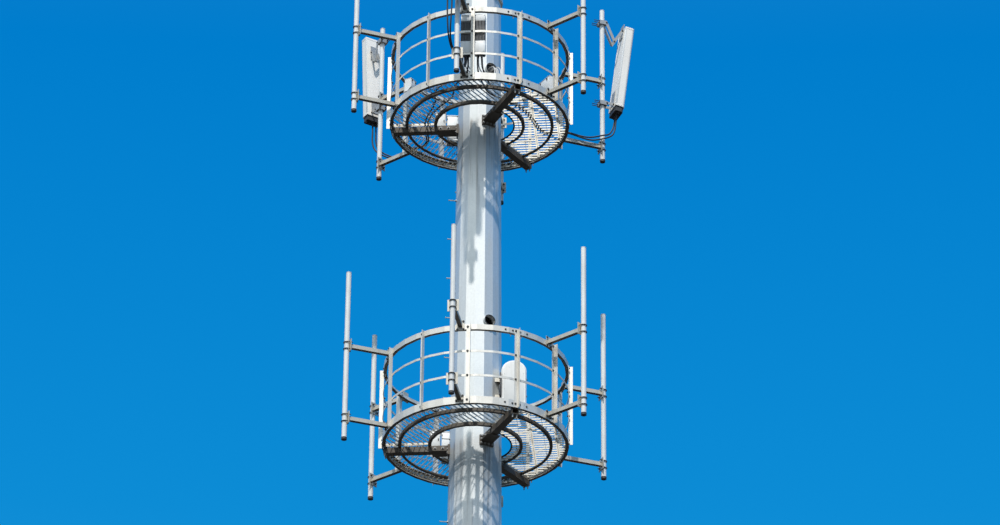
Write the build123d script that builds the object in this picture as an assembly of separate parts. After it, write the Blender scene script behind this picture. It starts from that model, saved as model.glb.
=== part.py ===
"""A steel monopole cell tower with two round work platforms, antenna pipes and panel antennas.

Origin: centre of the base flange on its underside, +Z up. A bearing is counted from the front of the
tower, which faces -Y, and turns towards +X. Lengths are in millimetres.
"""

import math
import os

from build123d import *

# Heights
lower_floor_z = 30500
platform_rise = 5530
first_joint_z = 12800
second_joint_z = 25400
third_joint_above_upper_floor = 2180
top_section_length = 980

# Pole
pole_sides = 16
pole_corner_bearing = 17.5
base_width = 1330
pole_taper = 0.0195
pole_wall = 8
slip_gap = 0.3
slip_length_per_width = 1.4
cap_thickness = 10
cap_overhang = 15
collar_thickness = 25
collar_height = 100
rod_height = 740
rod_diameter = 20
rod_sides = 8
seat_gap = 0.3

# Base flange
flange_overhang = 185
flange_lip = 105
flange_thickness = 60
anchor_edge = 90
anchor_count = 12
anchor_hole = 60

# Hand hole and its cover near the foot
hand_hole_width = 150
hand_hole_height = 500
hand_hole_z = 1200
cover_margin = 30
cover_thickness = 6

# Cable ports
port_diameter = 178
port_wall = 8
port_reach = 45
lower_port_above_floor = 1880
upper_port_above_floor = 810

# Climbing pegs
peg_pitch = 680
peg_reach = 120
peg_thickness = 18
peg_row_faces = 2
first_peg_z = 3000
last_peg_below_top = 500

# Platform rings, drawn with short straight sides
ring_radius = 1380
ring_sides = 36
rail_height = 1200
midrail_heights = (400, 800)
toe_ring_height = 116
toe_ring_flange = 50
top_rail_height = 85
top_rail_flange = 50
midrail_height = 36
ring_thickness = 6
segment_gap = 6
segment_count = 3
first_splice_bearing = 25
splice_length = 210
splice_width = 36
splice_thickness = 8
splice_clearance = 3

# Posts
post_count = 12
post_leg = 60
post_thickness = 6

# Floor
beam_width = 110
beam_height = 90
beam_wall = 8
beam_inset = 25
beam_start = 430
inner_ring_radius = 700
inner_ring_sides = 24
middle_ring_radius = 1140
floor_ring_height = 50
floor_ring_width = 45
grating_depth = 30
grating_bar = 8
grating_pitch = 60
grating_band = 6
grating_clearance = 6
infill_inner_radius = 530
infill_clearance = 8

# Brackets that carry the floor beams on the pole
saddle_width = 215
saddle_lip = 60
saddle_thickness = 12
seat_width = 200
seat_thickness = 12
seat_reach = 640
cheek_thickness = 8
cheek_clearance = 1

# Outriggers and antenna pipes
outrigger_count = 6
first_outrigger_bearing = 50
pipe_circle_radius = 2036
pipe_diameter = 76
pipe_sides = 12
pipe_wall = 5
pipe_length = 2780
pipe_below_floor = 240
lower_pipe_rises = (45, 30, 0, -45, -85, 0)
upper_pipe_rises = (0, 0, 0, 0, 0, -85)
arm_rise = 22
arm_size = 60
arm_wall = 4
inner_plate_width = 120
lower_inner_plate_height = 110
upper_inner_plate_height = 165
outer_plate_width = 170
outer_plate_height = 190
arm_plate = 8

# Panel antennas on the upper platform: bearing of the pipe, turn about it, height of the foot and lean
panel_width = 290
panel_depth = 155
panel_length = 1500
panel_corner = 45
panel_cap = 90
panel_cap_inset = 12
left_panel_bearing = 230
left_panel_turn = -18
left_panel_foot = 1000
left_panel_lean = 4
left_panel_stand_off = 170
right_panel_bearing = 110
right_panel_turn = 0
right_panel_foot = 760
right_panel_lean = 7
right_panel_stand_off = 165
front_panel_bearing = 350
front_panel_turn = 0
front_panel_foot = 1000
front_panel_lean = 4
front_panel_stand_off = 150
clamp_height = 70
clamp_jaw = 22
clamp_width = 130
clamp_hole_sides = 12
lower_clamp_above_foot = 50
upper_clamp_height = 2300
hinge_drop = 320
channel_height = 260
channel_drop = 90
strap_thickness = 10
strap_width = 45

# Radio units hung inside the handrail on a crossbar, with fins on the side that faces outward
radio_width = 160
radio_depth = 130
radio_height = 680
radio_gap = 50
radio_count = 2
radio_bearing = 355
radio_foot = 440
fin_count = 7
fin_slot = 12
fin_depth = 45
fin_foot = 210
fin_height = 360
crossbar_height = 60
crossbar_thickness = 12

# Boxes against the flange of the top rail: bearing, foot above the floor, width, depth and height
side_box_sizes = (
    (121, 880, 320, 150, 300),
    (239, 945, 160, 110, 220),
)
side_box_chamfer = 60

# Rounded enclosure beside the pole on the lower platform: place of its middle, and its carriers
enclosure_x = 556
enclosure_y = -200
enclosure_width = 372
enclosure_depth = 240
enclosure_foot = 450
enclosure_height = 780
enclosure_edge = 20
carrier_heights = (620, 900)
carrier_width = 90
carrier_height = 60

# Cabinets that stand on both floors behind the pole: place, width, depth and height
cabinets = (
    (-600, 300, 160, 150, 290),
    (-415, 630, 180, 180, 440),
)
cabinet_edge = 8

# Cables: black feeders from the panels to the radio units, and pale jumpers from the units into the upper port
feeder_diameter = 24
jumper_diameter = 16
cable_sides = 6
socket_run = 165
unit_run = 130
feeder_socket_sides = {"left": (0, -60), "right": (-30, 35), "front": (-115, -48)}
unit_sockets = {
    "left": ((1296, -160), (1300, -70)),
    "right": ((1300, 140), (1300, 70)),
    "front": ((1324, -95), (1274, -118)),
}
jumper_sockets = ((1245, -130), (1245, -85), (1245, 80), (1245, 125))
jumper_port_places = ((-35, -20), (-12, -42), (15, -38), (38, -15))
jumper_port_run = 130

# Routes of the cables between their ends: bearing, radius and height above the floor of each turn
feeder_routes = {
    "left": (
        (
            (228.4, 2258, 570), (228.2, 2228, 430), (227.7, 2165, 335), (226.9, 2060, 250), (226.3, 1940, 165),
            (226, 1790, 118), (226, 1630, 122), (226.2, 1480, 130), (227, 1340, 110), (228.2, 1200, 56),
            (230.5, 1080, 35), (235, 990, 35), (242, 930, 35), (252, 890, 35), (263, 855, 35), (275, 822, 35),
            (288, 805, 35), (300, 815, 35), (309, 870, 35), (315, 965, 35), (320, 1070, 35), (327, 1160, 35),
            (335, 1212, 35), (341.6, 1238, 42), (346.3, 1268, 105), (347.7, 1294, 205),
        ),
        (
            (226.9, 2236, 600), (226.7, 2208, 460), (226.2, 2135, 355), (225.4, 2020, 265), (224.9, 1890, 172),
            (224.7, 1745, 122), (224.7, 1590, 124), (224.9, 1440, 126), (225.8, 1300, 100), (227.2, 1165, 50),
            (230, 1045, 35), (236, 945, 35), (245, 882, 35), (255, 838, 35), (266, 802, 35), (278, 768, 35),
            (291, 748, 35), (304, 742, 35), (317, 752, 35), (327, 800, 35), (333, 890, 35), (336.5, 995, 35),
            (339.5, 1100, 35), (344, 1185, 35), (348.5, 1232, 55), (351, 1268, 140), (351.8, 1292, 225),
        ),
    ),
    "right": (
        (
            (109, 2235, 370), (108.1, 2185, 235), (107.1, 2085, 148), (106.8, 1950, 85), (106.9, 1820, 45),
            (107, 1680, 58), (107.2, 1540, 92), (107.4, 1410, 115), (107.4, 1290, 92), (106.8, 1170, 50),
            (105, 1060, 35), (101, 965, 35), (93, 895, 35), (82, 845, 35), (69, 812, 35), (56, 792, 35),
            (43, 782, 35), (30, 792, 35), (19, 850, 35), (12, 945, 35), (8.5, 1060, 35), (6, 1165, 40),
            (3.2, 1240, 95), (1.6, 1290, 190),
        ),
        (
            (110.4, 2215, 395), (109.6, 2165, 303), (108.4, 2110, 232), (107.6, 2020, 192), (107.4, 1910, 140),
            (107.4, 1795, 102), (107.6, 1670, 98), (107.9, 1540, 122), (108.3, 1410, 143), (108.4, 1290, 120),
            (108.1, 1165, 68), (106.5, 1045, 35), (102, 930, 35), (93, 855, 35), (81, 802, 35), (67, 770, 35),
            (53, 748, 35), (39, 740, 35), (25, 750, 35), (13, 800, 35), (6.5, 895, 35), (3.8, 1005, 35),
            (2, 1110, 35), (0.3, 1200, 50), (358.7, 1262, 125), (358.2, 1292, 215),
        ),
    ),
    "front": (
        (
            (347.1, 2262, 590), (347.2, 2250, 440), (347.2, 2215, 300), (347.2, 2140, 200), (347.2, 2040, 152),
            (347.3, 1945, 135), (347.7, 1840, 124), (348.8, 1725, 112), (350, 1600, 102), (350.4, 1450, 112),
            (350.8, 1352, 215),
        ),
        (
            (348.7, 2262, 590), (348.5, 2250, 460), (348.1, 2215, 340), (347.8, 2145, 240), (347.6, 2050, 186),
            (347.6, 1950, 167), (347.8, 1845, 153), (348.2, 1725, 140), (348.7, 1600, 128), (348.9, 1465, 132),
            (349.3, 1345, 205),
        ),
    ),
}
jumper_routes = (
    (
        (350.3, 1212, 225), (354, 1108, 190), (0, 985, 203), (7, 862, 265), (14.5, 748, 375), (20.5, 650, 520),
        (23.6, 555, 690),
    ),
    (
        (352.2, 1204, 238), (356.2, 1112, 206), (2.4, 996, 222), (9.2, 880, 282), (16.8, 768, 385),
        (22.8, 662, 518), (26.5, 560, 662),
    ),
    (
        (359.4, 1208, 222), (2.6, 1098, 198), (8, 968, 226), (14.5, 842, 308), (20.8, 730, 425), (26.2, 628, 555),
        (29.8, 546, 680),
    ),
    (
        (1.5, 1208, 224), (5.3, 1096, 206), (10.8, 972, 240), (17.6, 850, 322), (24, 738, 442), (29.6, 638, 578),
        (33.2, 555, 712),
    ),
)

# Worked out from the sizes above
upper_floor_z = lower_floor_z + platform_rise
third_joint_z = upper_floor_z + third_joint_above_upper_floor
joint_heights = (first_joint_z, second_joint_z, third_joint_z)
pole_top_z = third_joint_z + top_section_length
flange_diameter = base_width + 2 * flange_overhang
flange_bore = base_width - 2 * flange_lip
anchor_circle = flange_diameter - 2 * anchor_edge
floor_z = -toe_ring_height / 2
pole_turn = math.pi / pole_sides
joint_step = 2 * (pole_wall + slip_gap) / math.cos(pole_turn)
pole_lean = math.degrees(math.atan(pole_taper / 2 * math.cos(pole_turn)))
facet_bearing = pole_corner_bearing - 180 / pole_sides
port_bearing = pole_corner_bearing + 180 / pole_sides
arm_bearings = [first_outrigger_bearing + 360 / outrigger_count * n for n in range(outrigger_count)]
splice_bearings = [first_splice_bearing + 360 / segment_count * n for n in range(segment_count)]
post_bearings = [first_splice_bearing + 360 / post_count * n for n in range(post_count)]
flat_radius = ring_radius * math.cos(math.pi / ring_sides)
saddle_height = beam_height + seat_thickness + saddle_lip
bottom_seat = (Align.CENTER, Align.CENTER, Align.MIN)


def spot(bearing, radius, height):
    """The place at a bearing and radius, with local X pointing outward."""
    turn = math.radians(bearing)
    return Location((radius * math.sin(turn), -radius * math.cos(turn), height), (0, 0, bearing - 90))


def block(length, width, height, start=0.0, base=0.0):
    """A box from start outward along X, centred on Y, standing on base."""
    return Pos(start + length / 2, 0, base + height / 2) * Box(length, width, height)


# Pole


def joints_below(height):
    return sum(height > joint for joint in joint_heights)


def pole_width(height, joints):
    """Width over the corners of the section above this many slip joints."""
    return base_width - pole_taper * height + joint_step * joints


def facet_distance(height):
    """Distance from the axis to the flats."""
    return pole_width(height, joints_below(height)) / 2 * math.cos(pole_turn)


def pole_outline(width, height):
    return Plane.XY.offset(height) * RegularPolygon(width / 2, pole_sides, rotation=pole_corner_bearing)


def pole_body(bottom, top, joints, extra=0.0):
    """The tapered outside of a section, made wider by extra."""
    return extrude(pole_outline(pole_width(bottom, joints) + extra, bottom), top - bottom, taper=pole_lean)


def pole_section(bottom, top, joints):
    """One tapered tube with flat sides."""
    return pole_body(bottom, top, joints) - pole_body(
        bottom, top, joints, -2 * pole_wall / math.cos(pole_turn)
    )


def top_section():
    """The short last section, with a collar round its foot."""
    joints = joints_below(pole_top_z)
    collar = pole_body(third_joint_z, third_joint_z + collar_height, joints, 2 * collar_thickness)
    collar -= pole_body(third_joint_z, third_joint_z + collar_height, joints)
    return pole_section(third_joint_z, pole_top_z, joints) + collar


def slip_top(joint, joints):
    """Top of the section that ends inside the next one."""
    return joint + slip_length_per_width * pole_width(joint, joints)


def port_hole(height):
    hole = Cylinder(port_diameter / 2 + seat_gap, base_width, align=bottom_seat)
    return spot(port_bearing, 0, height) * Rot(0, 90, 0) * hole


def port(height):
    """A short tube through the wall of the pole."""
    start = facet_distance(height) - pole_wall - port_reach / 2
    length = facet_distance(height) + port_reach - start
    tube = Cylinder(port_diameter / 2, length, align=bottom_seat)
    tube -= Cylinder(port_diameter / 2 - port_wall, length, align=bottom_seat)
    return spot(port_bearing, start, height) * Rot(0, 90, 0) * tube


def pegs():
    """Hexagon climbing pegs in two rows in turn, left out where a bracket or a joint is in their way."""
    solids = []
    bar = Rot(0, 90, 0) * extrude(RegularPolygon(peg_thickness / 2, 6), peg_reach)
    steps = int((pole_top_z - last_peg_below_top - first_peg_z) / (peg_pitch / 2))
    for n in range(steps):
        height = first_peg_z + n * peg_pitch / 2
        drops = [floor + floor_z - height for floor in (lower_floor_z, upper_floor_z)]
        at_bracket = any(-2 * peg_thickness < drop < saddle_height + peg_thickness for drop in drops)
        at_joint = any(-2 * peg_thickness < height - joint < collar_height + peg_thickness for joint in joint_heights)
        if at_bracket or at_joint:
            continue
        bearing = facet_bearing - 90 - (n + 1) % 2 * peg_row_faces * 360 / pole_sides
        solids.append(spot(bearing, facet_distance(height) + 2 * seat_gap, height) * bar)
    return solids


def base_flange():
    plate = Cylinder(flange_diameter / 2, flange_thickness, align=bottom_seat)
    plate -= Cylinder(flange_bore / 2, flange_thickness, align=bottom_seat)
    hole = Cylinder(anchor_hole / 2, flange_thickness, align=bottom_seat)
    for n in range(anchor_count):
        plate -= spot(360 / anchor_count * (n + 0.5), anchor_circle / 2, 0) * hole
    return plate


def hand_hole():
    cut = block(base_width, hand_hole_width, hand_hole_height, 0, -hand_hole_height / 2)
    return spot(facet_bearing, 0, hand_hole_z) * cut


def access_cover():
    """A plate over the hand hole, leaning with the face of the pole."""
    height = hand_hole_height + 2 * cover_margin
    plate = block(cover_thickness, hand_hole_width + 2 * cover_margin, height, 0, -height / 2)
    return spot(facet_bearing, facet_distance(hand_hole_z) + seat_gap, hand_hole_z) * Rot(0, -pole_lean, 0) * plate


# Platform: every piece is drawn with the middle of the toe ring at height 0


def ring_outline(radius, sides):
    """A many-sided ring outline with the middle of a side at each post."""
    return RegularPolygon(radius, sides, rotation=first_splice_bearing + 90 + 180 / sides)


def wedge(reach, start, end):
    """A slice from the axis between two bearings."""
    points = [(0, 0)]
    for bearing in (start, (start + end) / 2, end):
        turn = math.radians(bearing)
        points.append((2 * reach * math.sin(turn), -2 * reach * math.cos(turn)))
    return make_face(Polyline(*points, close=True))


def band(radius, width, base, height, sides=ring_sides):
    """A flat bar bent round the axis."""
    flat = ring_outline(radius, sides) - ring_outline(radius - width, sides)
    return Pos(0, 0, base) * extrude(flat, height)


def third(ring):
    """The third of a ring that starts at the first splice, with half a gap at both ends."""
    margin = math.degrees(segment_gap / 2 / ring_radius)
    start = first_splice_bearing + margin
    end = first_splice_bearing + 360 / segment_count - margin
    cut = extrude(wedge(ring_radius, start, end), rail_height, both=True)
    return ring & (Pos(0, 0, rail_height / 2) * cut)


def all_round(piece, count):
    return [Rot(0, 0, 360 / count * n) * piece for n in range(count)]


def toe_ring():
    """Three lengths of channel, open to the pole."""
    base = -toe_ring_height / 2
    web = band(ring_radius, ring_thickness, base, toe_ring_height)
    low = band(ring_radius, toe_ring_flange, base, ring_thickness)
    high = band(ring_radius, toe_ring_flange, base + toe_ring_height - ring_thickness, ring_thickness)
    return all_round(third(web + low + high), segment_count)


def rails():
    """The top rail, an angle with its flange below, and the flat midrails."""
    base = rail_height - top_rail_height / 2
    angle = band(ring_radius, ring_thickness, base, top_rail_height)
    angle += band(ring_radius, top_rail_flange, base, ring_thickness)
    bars = all_round(third(angle), segment_count)
    for height in midrail_heights:
        flat = band(ring_radius, ring_thickness, height - midrail_height / 2, midrail_height)
        bars += all_round(third(flat), segment_count)
    return bars


def splices():
    """Flat plates that lie over the joints, on the lower flanges of the toe ring and of the top rail."""
    end = (ring_radius - ring_thickness) * math.cos(math.pi / ring_sides) - splice_clearance
    bases = (-toe_ring_height / 2 + ring_thickness, rail_height - top_rail_height / 2 + ring_thickness)
    return [
        spot(bearing, 0, base) * block(splice_width, splice_length, splice_thickness, end - splice_width)
        for bearing in splice_bearings for base in bases
    ]


def posts():
    """Angles outside the rings, with one leg turned outward."""
    bottom = -toe_ring_height / 2
    height = rail_height + top_rail_height / 2 - bottom
    angle = block(post_thickness, post_leg, height)
    angle += Pos(0, (post_leg - post_thickness) / 2, 0) * block(post_leg, post_thickness, height)
    return [spot(bearing, flat_radius + seat_gap, bottom) * angle for bearing in post_bearings]


def floor_beams():
    """Square tubes under the rings, open at the outer end."""
    length = ring_radius - beam_inset - beam_start
    tube = block(length, beam_width, beam_height, 0, -beam_height)
    tube -= block(
        length, beam_width - 2 * beam_wall, beam_height - 2 * beam_wall, 0, beam_wall - beam_height
    )
    return [spot(bearing, beam_start, floor_z) * tube for bearing in splice_bearings]


def pole_brackets(floor):
    """A saddle bent to the faces of the pole, with a seat and two cheeks that hold each beam."""
    top = floor + floor_z
    seat_top = top - beam_height
    foot = top - saddle_height
    start = facet_distance(floor) - saddle_thickness
    saddle_end = pole_width(foot, joints_below(foot)) / 2 + saddle_thickness
    side = (beam_width + cheek_thickness) / 2 + cheek_clearance
    cheek = block(seat_reach - start, cheek_thickness, beam_height, start, seat_top)
    bracket = block(saddle_end - start, saddle_width, saddle_height, start, foot)
    bracket += block(seat_reach - start, seat_width, seat_thickness, start, seat_top - seat_thickness)
    bracket += Pos(0, side, 0) * cheek
    bracket += Pos(0, -side, 0) * cheek
    clearance = 2 * seat_gap / math.cos(pole_turn)
    pole = pole_body(foot - saddle_thickness, top + saddle_thickness, joints_below(foot), clearance)
    return [spot(bearing, 0, 0) * bracket - pole for bearing in splice_bearings]


def floor_rings():
    """Two rolled angles on top of the beams, under the grating."""
    rings = []
    for radius, sides in ((inner_ring_radius, inner_ring_sides), (middle_ring_radius, ring_sides)):
        angle = band(radius, ring_thickness, floor_z, floor_ring_height, sides)
        angle += band(radius, floor_ring_width, floor_z, ring_thickness, sides)
        rings.append(angle)
    return rings


def grating(outer, inner, outer_sides, inner_sides, start, end):
    """Bars on edge in a band, all running along the middle of the sector."""
    whole = (ring_outline(outer, outer_sides) - ring_outline(inner, inner_sides)) & wedge(outer, start, end)
    hole = ring_outline(outer - grating_band, outer_sides) - ring_outline(inner + grating_band, inner_sides)
    shift = grating_band / math.sin(math.radians((end - start) / 2))
    hole &= spot((start + end) / 2, shift, 0) * Rot(0, 0, 90 - (start + end) / 2) * wedge(outer, start, end)
    count = 2 * int(outer / grating_pitch) + 1
    middle = (count - 1) / 2
    bar = Rectangle(4 * outer, grating_bar)
    turn = Rot(0, 0, (start + end) / 2 - 90)
    bars = Sketch() + [turn * Pos(0, (n - middle) * grating_pitch) * bar for n in range(count)]
    return Pos(0, 0, floor_z + floor_ring_height) * extrude((whole - hole) + (whole & bars), grating_depth)


def arm(inner_height):
    """A square tube with a plate at each end, welded in one piece."""
    end = pipe_circle_radius - pipe_diameter / 2 * math.cos(math.pi / pipe_sides) - seat_gap
    tube = block(end - ring_radius, arm_size, arm_size, ring_radius, -arm_size / 2)
    inside = arm_size - 2 * arm_wall
    tube -= block(end - ring_radius, inside, inside, ring_radius, -inside / 2)
    tube += block(arm_plate, inner_plate_width, inner_height, ring_radius, -inner_height / 2)
    tube += block(arm_plate, outer_plate_width, outer_plate_height, end - arm_plate, -outer_plate_height / 2)
    return [spot(bearing, 0, arm_rise) * tube for bearing in arm_bearings]


def pipes(rises):
    """Upright tubes at the ends of the arms, each set a little higher or lower in its clamps."""
    outline = RegularPolygon(pipe_diameter / 2, pipe_sides, major_radius=True, rotation=180 / pipe_sides)
    bore = RegularPolygon(pipe_diameter / 2 - pipe_wall, pipe_sides, rotation=180 / pipe_sides)
    tube = extrude(outline - bore, pipe_length)
    return [
        spot(bearing, pipe_circle_radius, rise - pipe_below_floor) * tube
        for bearing, rise in zip(arm_bearings, rises)
    ]


# Equipment on the upper platform


def pipe_place(bearing, turn):
    """The foot of a pipe, with local X pointing where its panel faces."""
    return spot(bearing, pipe_circle_radius, 0) * Rot(0, 0, turn)


def panel_place(bearing, turn, foot, lean, stand_off):
    """The middle of the back of a panel at its foot."""
    return pipe_place(bearing, turn) * Pos(stand_off, 0, foot) * Rot(0, lean, 0)


def panel_outline(inset=0.0):
    """The section of a panel, with its back on the Y axis."""
    outline = Pos(panel_depth / 2, 0) * Rectangle(panel_depth - 2 * inset, panel_width - 2 * inset)
    outer = outline.vertices().sort_by(Axis.X)[-2:]
    return fillet(outer, panel_corner - inset)


def panel(place):
    """A flat back with a cover rounded at its outer corners."""
    return panel_place(*place) * extrude(panel_outline(), panel_length)


def panel_foot(place):
    """The set-back end that holds the sockets."""
    return panel_place(*place) * Pos(0, 0, -panel_cap) * extrude(panel_outline(panel_cap_inset), panel_cap)


def pipe_clamp(height):
    """Two jaws round a pipe, as one block with a hole."""
    depth = pipe_diameter + 2 * clamp_jaw
    jaws = block(depth, clamp_width, clamp_height, -depth / 2, height - clamp_height / 2)
    hole = RegularPolygon(
        pipe_diameter / 2 + seat_gap, clamp_hole_sides, major_radius=False, rotation=180 / clamp_hole_sides
    )
    return jaws - Pos(0, 0, height) * extrude(hole, clamp_height, both=True)


def strap(start, end):
    """A pair of flat bars between two points of the local XZ plane."""
    length = math.dist(start, end) + strap_width / 2
    turn = math.degrees(math.atan2(end[1] - start[1], end[0] - start[0]))
    middle = Pos((start[0] + end[0]) / 2, 0, (start[1] + end[1]) / 2)
    side = (clamp_width - strap_thickness) / 2
    bar = middle * Rot(0, -turn, 0) * Box(length, strap_thickness, strap_width)
    return Pos(0, side, 0) * bar + Pos(0, -side, 0) * bar


def panel_channel(foot, lean, stand_off, height):
    """The plate on the back of a panel, seen from the pipe, and the middle of its face."""
    along = (height - foot) / math.cos(math.radians(lean))
    place = Pos(stand_off, 0, foot) * Rot(0, lean, 0)
    plate = block(strap_thickness, clamp_width, channel_height, -strap_thickness, along - channel_height / 2)
    middle = stand_off + (height - foot) * math.tan(math.radians(lean))
    return place * plate, (middle - strap_width / 2, height)


def panel_bracket(bearing, turn, foot, lean, stand_off):
    """Pipe clamps, joined to the back of the panel by a short strap below and a hinged pair above."""
    reach = pipe_diameter / 2 + clamp_jaw / 2
    low = foot + lower_clamp_above_foot
    plate, back = panel_channel(foot, lean, stand_off, low + channel_height / 2)
    lower = pipe_clamp(low) + plate + strap((reach, low), (back[0], low))
    plate, back = panel_channel(foot, lean, stand_off, upper_clamp_height - channel_drop)
    hinge = ((reach + back[0]) / 2, upper_clamp_height - hinge_drop)
    upper = pipe_clamp(upper_clamp_height) + plate
    upper += strap((reach, upper_clamp_height), hinge)
    upper += strap(hinge, back)
    beyond = Pos(stand_off, 0, foot) * Rot(0, lean, 0) * block(
        panel_depth, 2 * clamp_width, panel_length, -seat_gap
    )
    return [pipe_place(bearing, turn) * (bracket - beyond) for bracket in (lower, upper)]


panels = {
    "left": (left_panel_bearing, left_panel_turn, left_panel_foot, left_panel_lean, left_panel_stand_off),
    "right": (right_panel_bearing, right_panel_turn, right_panel_foot, right_panel_lean, right_panel_stand_off),
    "front": (front_panel_bearing, front_panel_turn, front_panel_foot, front_panel_lean, front_panel_stand_off),
}


def radio_units():
    """Finned boxes side by side on a crossbar that rests against the upper midrail."""
    half_bar = (radio_count * radio_width + (radio_count - 1) * radio_gap) / 2
    back = inside_ring(half_bar, ring_radius - ring_thickness) - crossbar_thickness
    body = block(radio_depth, radio_width, radio_height, -radio_depth, 0)
    slot_pitch = radio_width / fin_count
    for n in range(fin_count):
        cut = block(fin_depth, fin_slot, fin_height, -fin_depth, fin_foot)
        body -= Pos(0, (n - (fin_count - 1) / 2) * slot_pitch, 0) * cut
    step = radio_width + radio_gap
    units = [
        spot(radio_bearing, back, radio_foot) * Pos(0, (n - (radio_count - 1) / 2) * step, 0) * body
        for n in range(radio_count)
    ]
    bar = block(crossbar_thickness, 2 * half_bar, crossbar_height, back, midrail_heights[-1] - crossbar_height / 2)
    return units, [spot(radio_bearing, 0, 0) * bar]


def inside_ring(half_width, reach):
    """How far out a flat piece of this half width can lie inside a ring of this reach."""
    return math.sqrt((reach * math.cos(math.pi / ring_sides)) ** 2 - half_width ** 2) - seat_gap


def side_boxes():
    """Boxes with a sloping lower front, against the flange of the top rail."""
    boxes = []
    for bearing, foot, width, depth, height in side_box_sizes:
        face = inside_ring(width / 2, ring_radius - top_rail_flange)
        outline = Polyline(
            (face, 0), (face, height), (face - depth, height), (face - depth, side_box_chamfer),
            (face - depth + side_box_chamfer, 0), close=True,
        )
        box = extrude(make_face(Plane.XZ * outline), width / 2, both=True)
        boxes.append(spot(bearing, 0, foot) * box)
    return boxes


def enclosure():
    """An upright cover with a half-round top, seen from the front."""
    straight = enclosure_height - enclosure_width / 2
    outline = Pos(0, straight / 2) * Rectangle(enclosure_width, straight) + Pos(0, straight) * Circle(
        enclosure_width / 2
    )
    cover = extrude(Plane.XZ * outline, enclosure_depth / 2, both=True)
    front = cover.faces().sort_by(Axis.Y)[0]
    cover = chamfer(front.edges(), enclosure_edge)
    return Pos(enclosure_x, enclosure_y, enclosure_foot) * cover


def enclosure_carriers(floor):
    """Blocks from the pole to the side of the enclosure."""
    end = enclosure_x - enclosure_width / 2 - seat_gap
    carrier = Pos(end / 2, enclosure_y, carrier_height / 2) * Box(end, carrier_width, carrier_height)
    top = floor + enclosure_foot + enclosure_height
    pole = pole_body(floor, top, joints_below(floor), 2 * seat_gap / math.cos(pole_turn))
    return [Pos(0, 0, floor + height) * carrier - pole for height in carrier_heights]


def cabinet_boxes():
    """Boxes that stand on the grating."""
    top = floor_z + floor_ring_height + grating_depth + seat_gap
    boxes = []
    for x, y, width, depth, height in cabinets:
        box = Box(width, depth, height, align=bottom_seat)
        box = chamfer(box.edges().filter_by(Axis.Z), cabinet_edge)
        boxes.append(Pos(x, y, top) * box)
    return boxes


# Cables, drawn with the middle of the toe ring at height 0


def route_point(bearing, radius, height):
    return spot(bearing, radius, height).position


def feeder_points(side, number):
    """From a socket in the foot of a panel to a socket under a radio unit."""
    foot = panel_place(*panels[side]) * Pos(panel_depth / 2, feeder_socket_sides[side][number], -panel_cap)
    unit = spot(radio_bearing, 0, radio_foot) * Pos(*unit_sockets[side][number], 0)
    return [
        foot.position, (foot * Pos(0, 0, -socket_run)).position,
        *(route_point(*point) for point in feeder_routes[side][number]),
        (unit * Pos(0, 0, -unit_run)).position, unit.position,
    ]


def jumper_points(number):
    """From a socket under a radio unit into the upper port."""
    unit = spot(radio_bearing, 0, radio_foot) * Pos(*jumper_sockets[number], 0)
    across, up = jumper_port_places[number]
    reach = facet_distance(upper_floor_z + upper_port_above_floor)
    port_end = spot(port_bearing, reach, upper_port_above_floor) * Pos(0, across, up)
    return [
        unit.position, (unit * Pos(0, 0, -unit_run)).position,
        *(route_point(*point) for point in jumper_routes[number]),
        (port_end * Pos(jumper_port_run, 0, 0)).position, port_end.position,
    ]


def cable(name, points, diameter):
    """A tube of straight runs joined by arcs as large as the runs allow."""
    runs = [after - before for before, after in zip(points, points[1:])]
    radii = []
    for before, after in zip(runs, runs[1:]):
        half_turn = math.radians(before.get_angle(after) / 2)
        radii.append(0.45 * min(before.length, after.length) / math.tan(half_turn))
    path = FilletPolyline(*points, radius=radii)
    section = Plane(origin=path @ 0, z_dir=path % 0) * RegularPolygon(diameter / 2, cable_sides)
    tube = sweep(section, path)
    share = tube.volume / (section.area * path.length)
    longest = max(run.length for run in runs)
    print(f"{name}: {path.length:.0f} long, longest run {longest:.0f}, volume over section times length {share:.4f}")
    print(name, "radii from", round(min(radii)), "in order", *(round(radius) for radius in radii))
    return tube


def write(name, solids, floor=0.0):
    moved = [Pos(0, 0, floor) * solid for solid in solids]
    export_step(Compound(children=moved), f"parts/{name}.step")


os.makedirs("parts", exist_ok=True)

write("base_flange", [base_flange()])
write("pole_base_section", [pole_section(flange_thickness, slip_top(first_joint_z, 0), 0) - hand_hole()])
write("pole_middle_section", [pole_section(first_joint_z, slip_top(second_joint_z, 1), 1)])
platform_section = pole_section(second_joint_z, slip_top(third_joint_z, 2), 2)
port_heights = (lower_floor_z + lower_port_above_floor, upper_floor_z + upper_port_above_floor)
for port_height in port_heights:
    platform_section -= port_hole(port_height)
write("pole_platform_section", [platform_section])
write("pole_top_section", [top_section()])
cap_width = pole_width(pole_top_z, joints_below(pole_top_z)) + 2 * cap_overhang
write("pole_cap", [extrude(pole_outline(cap_width, pole_top_z), cap_thickness)])
rod_foot = Pos(0, 0, pole_top_z + cap_thickness)
write("lightning_rod", [rod_foot * extrude(RegularPolygon(rod_diameter / 2, rod_sides), rod_height)])
write("access_cover", [access_cover()])
write("cable_ports", [port(port_height) for port_height in port_heights])
write("climbing_pegs", pegs())

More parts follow.
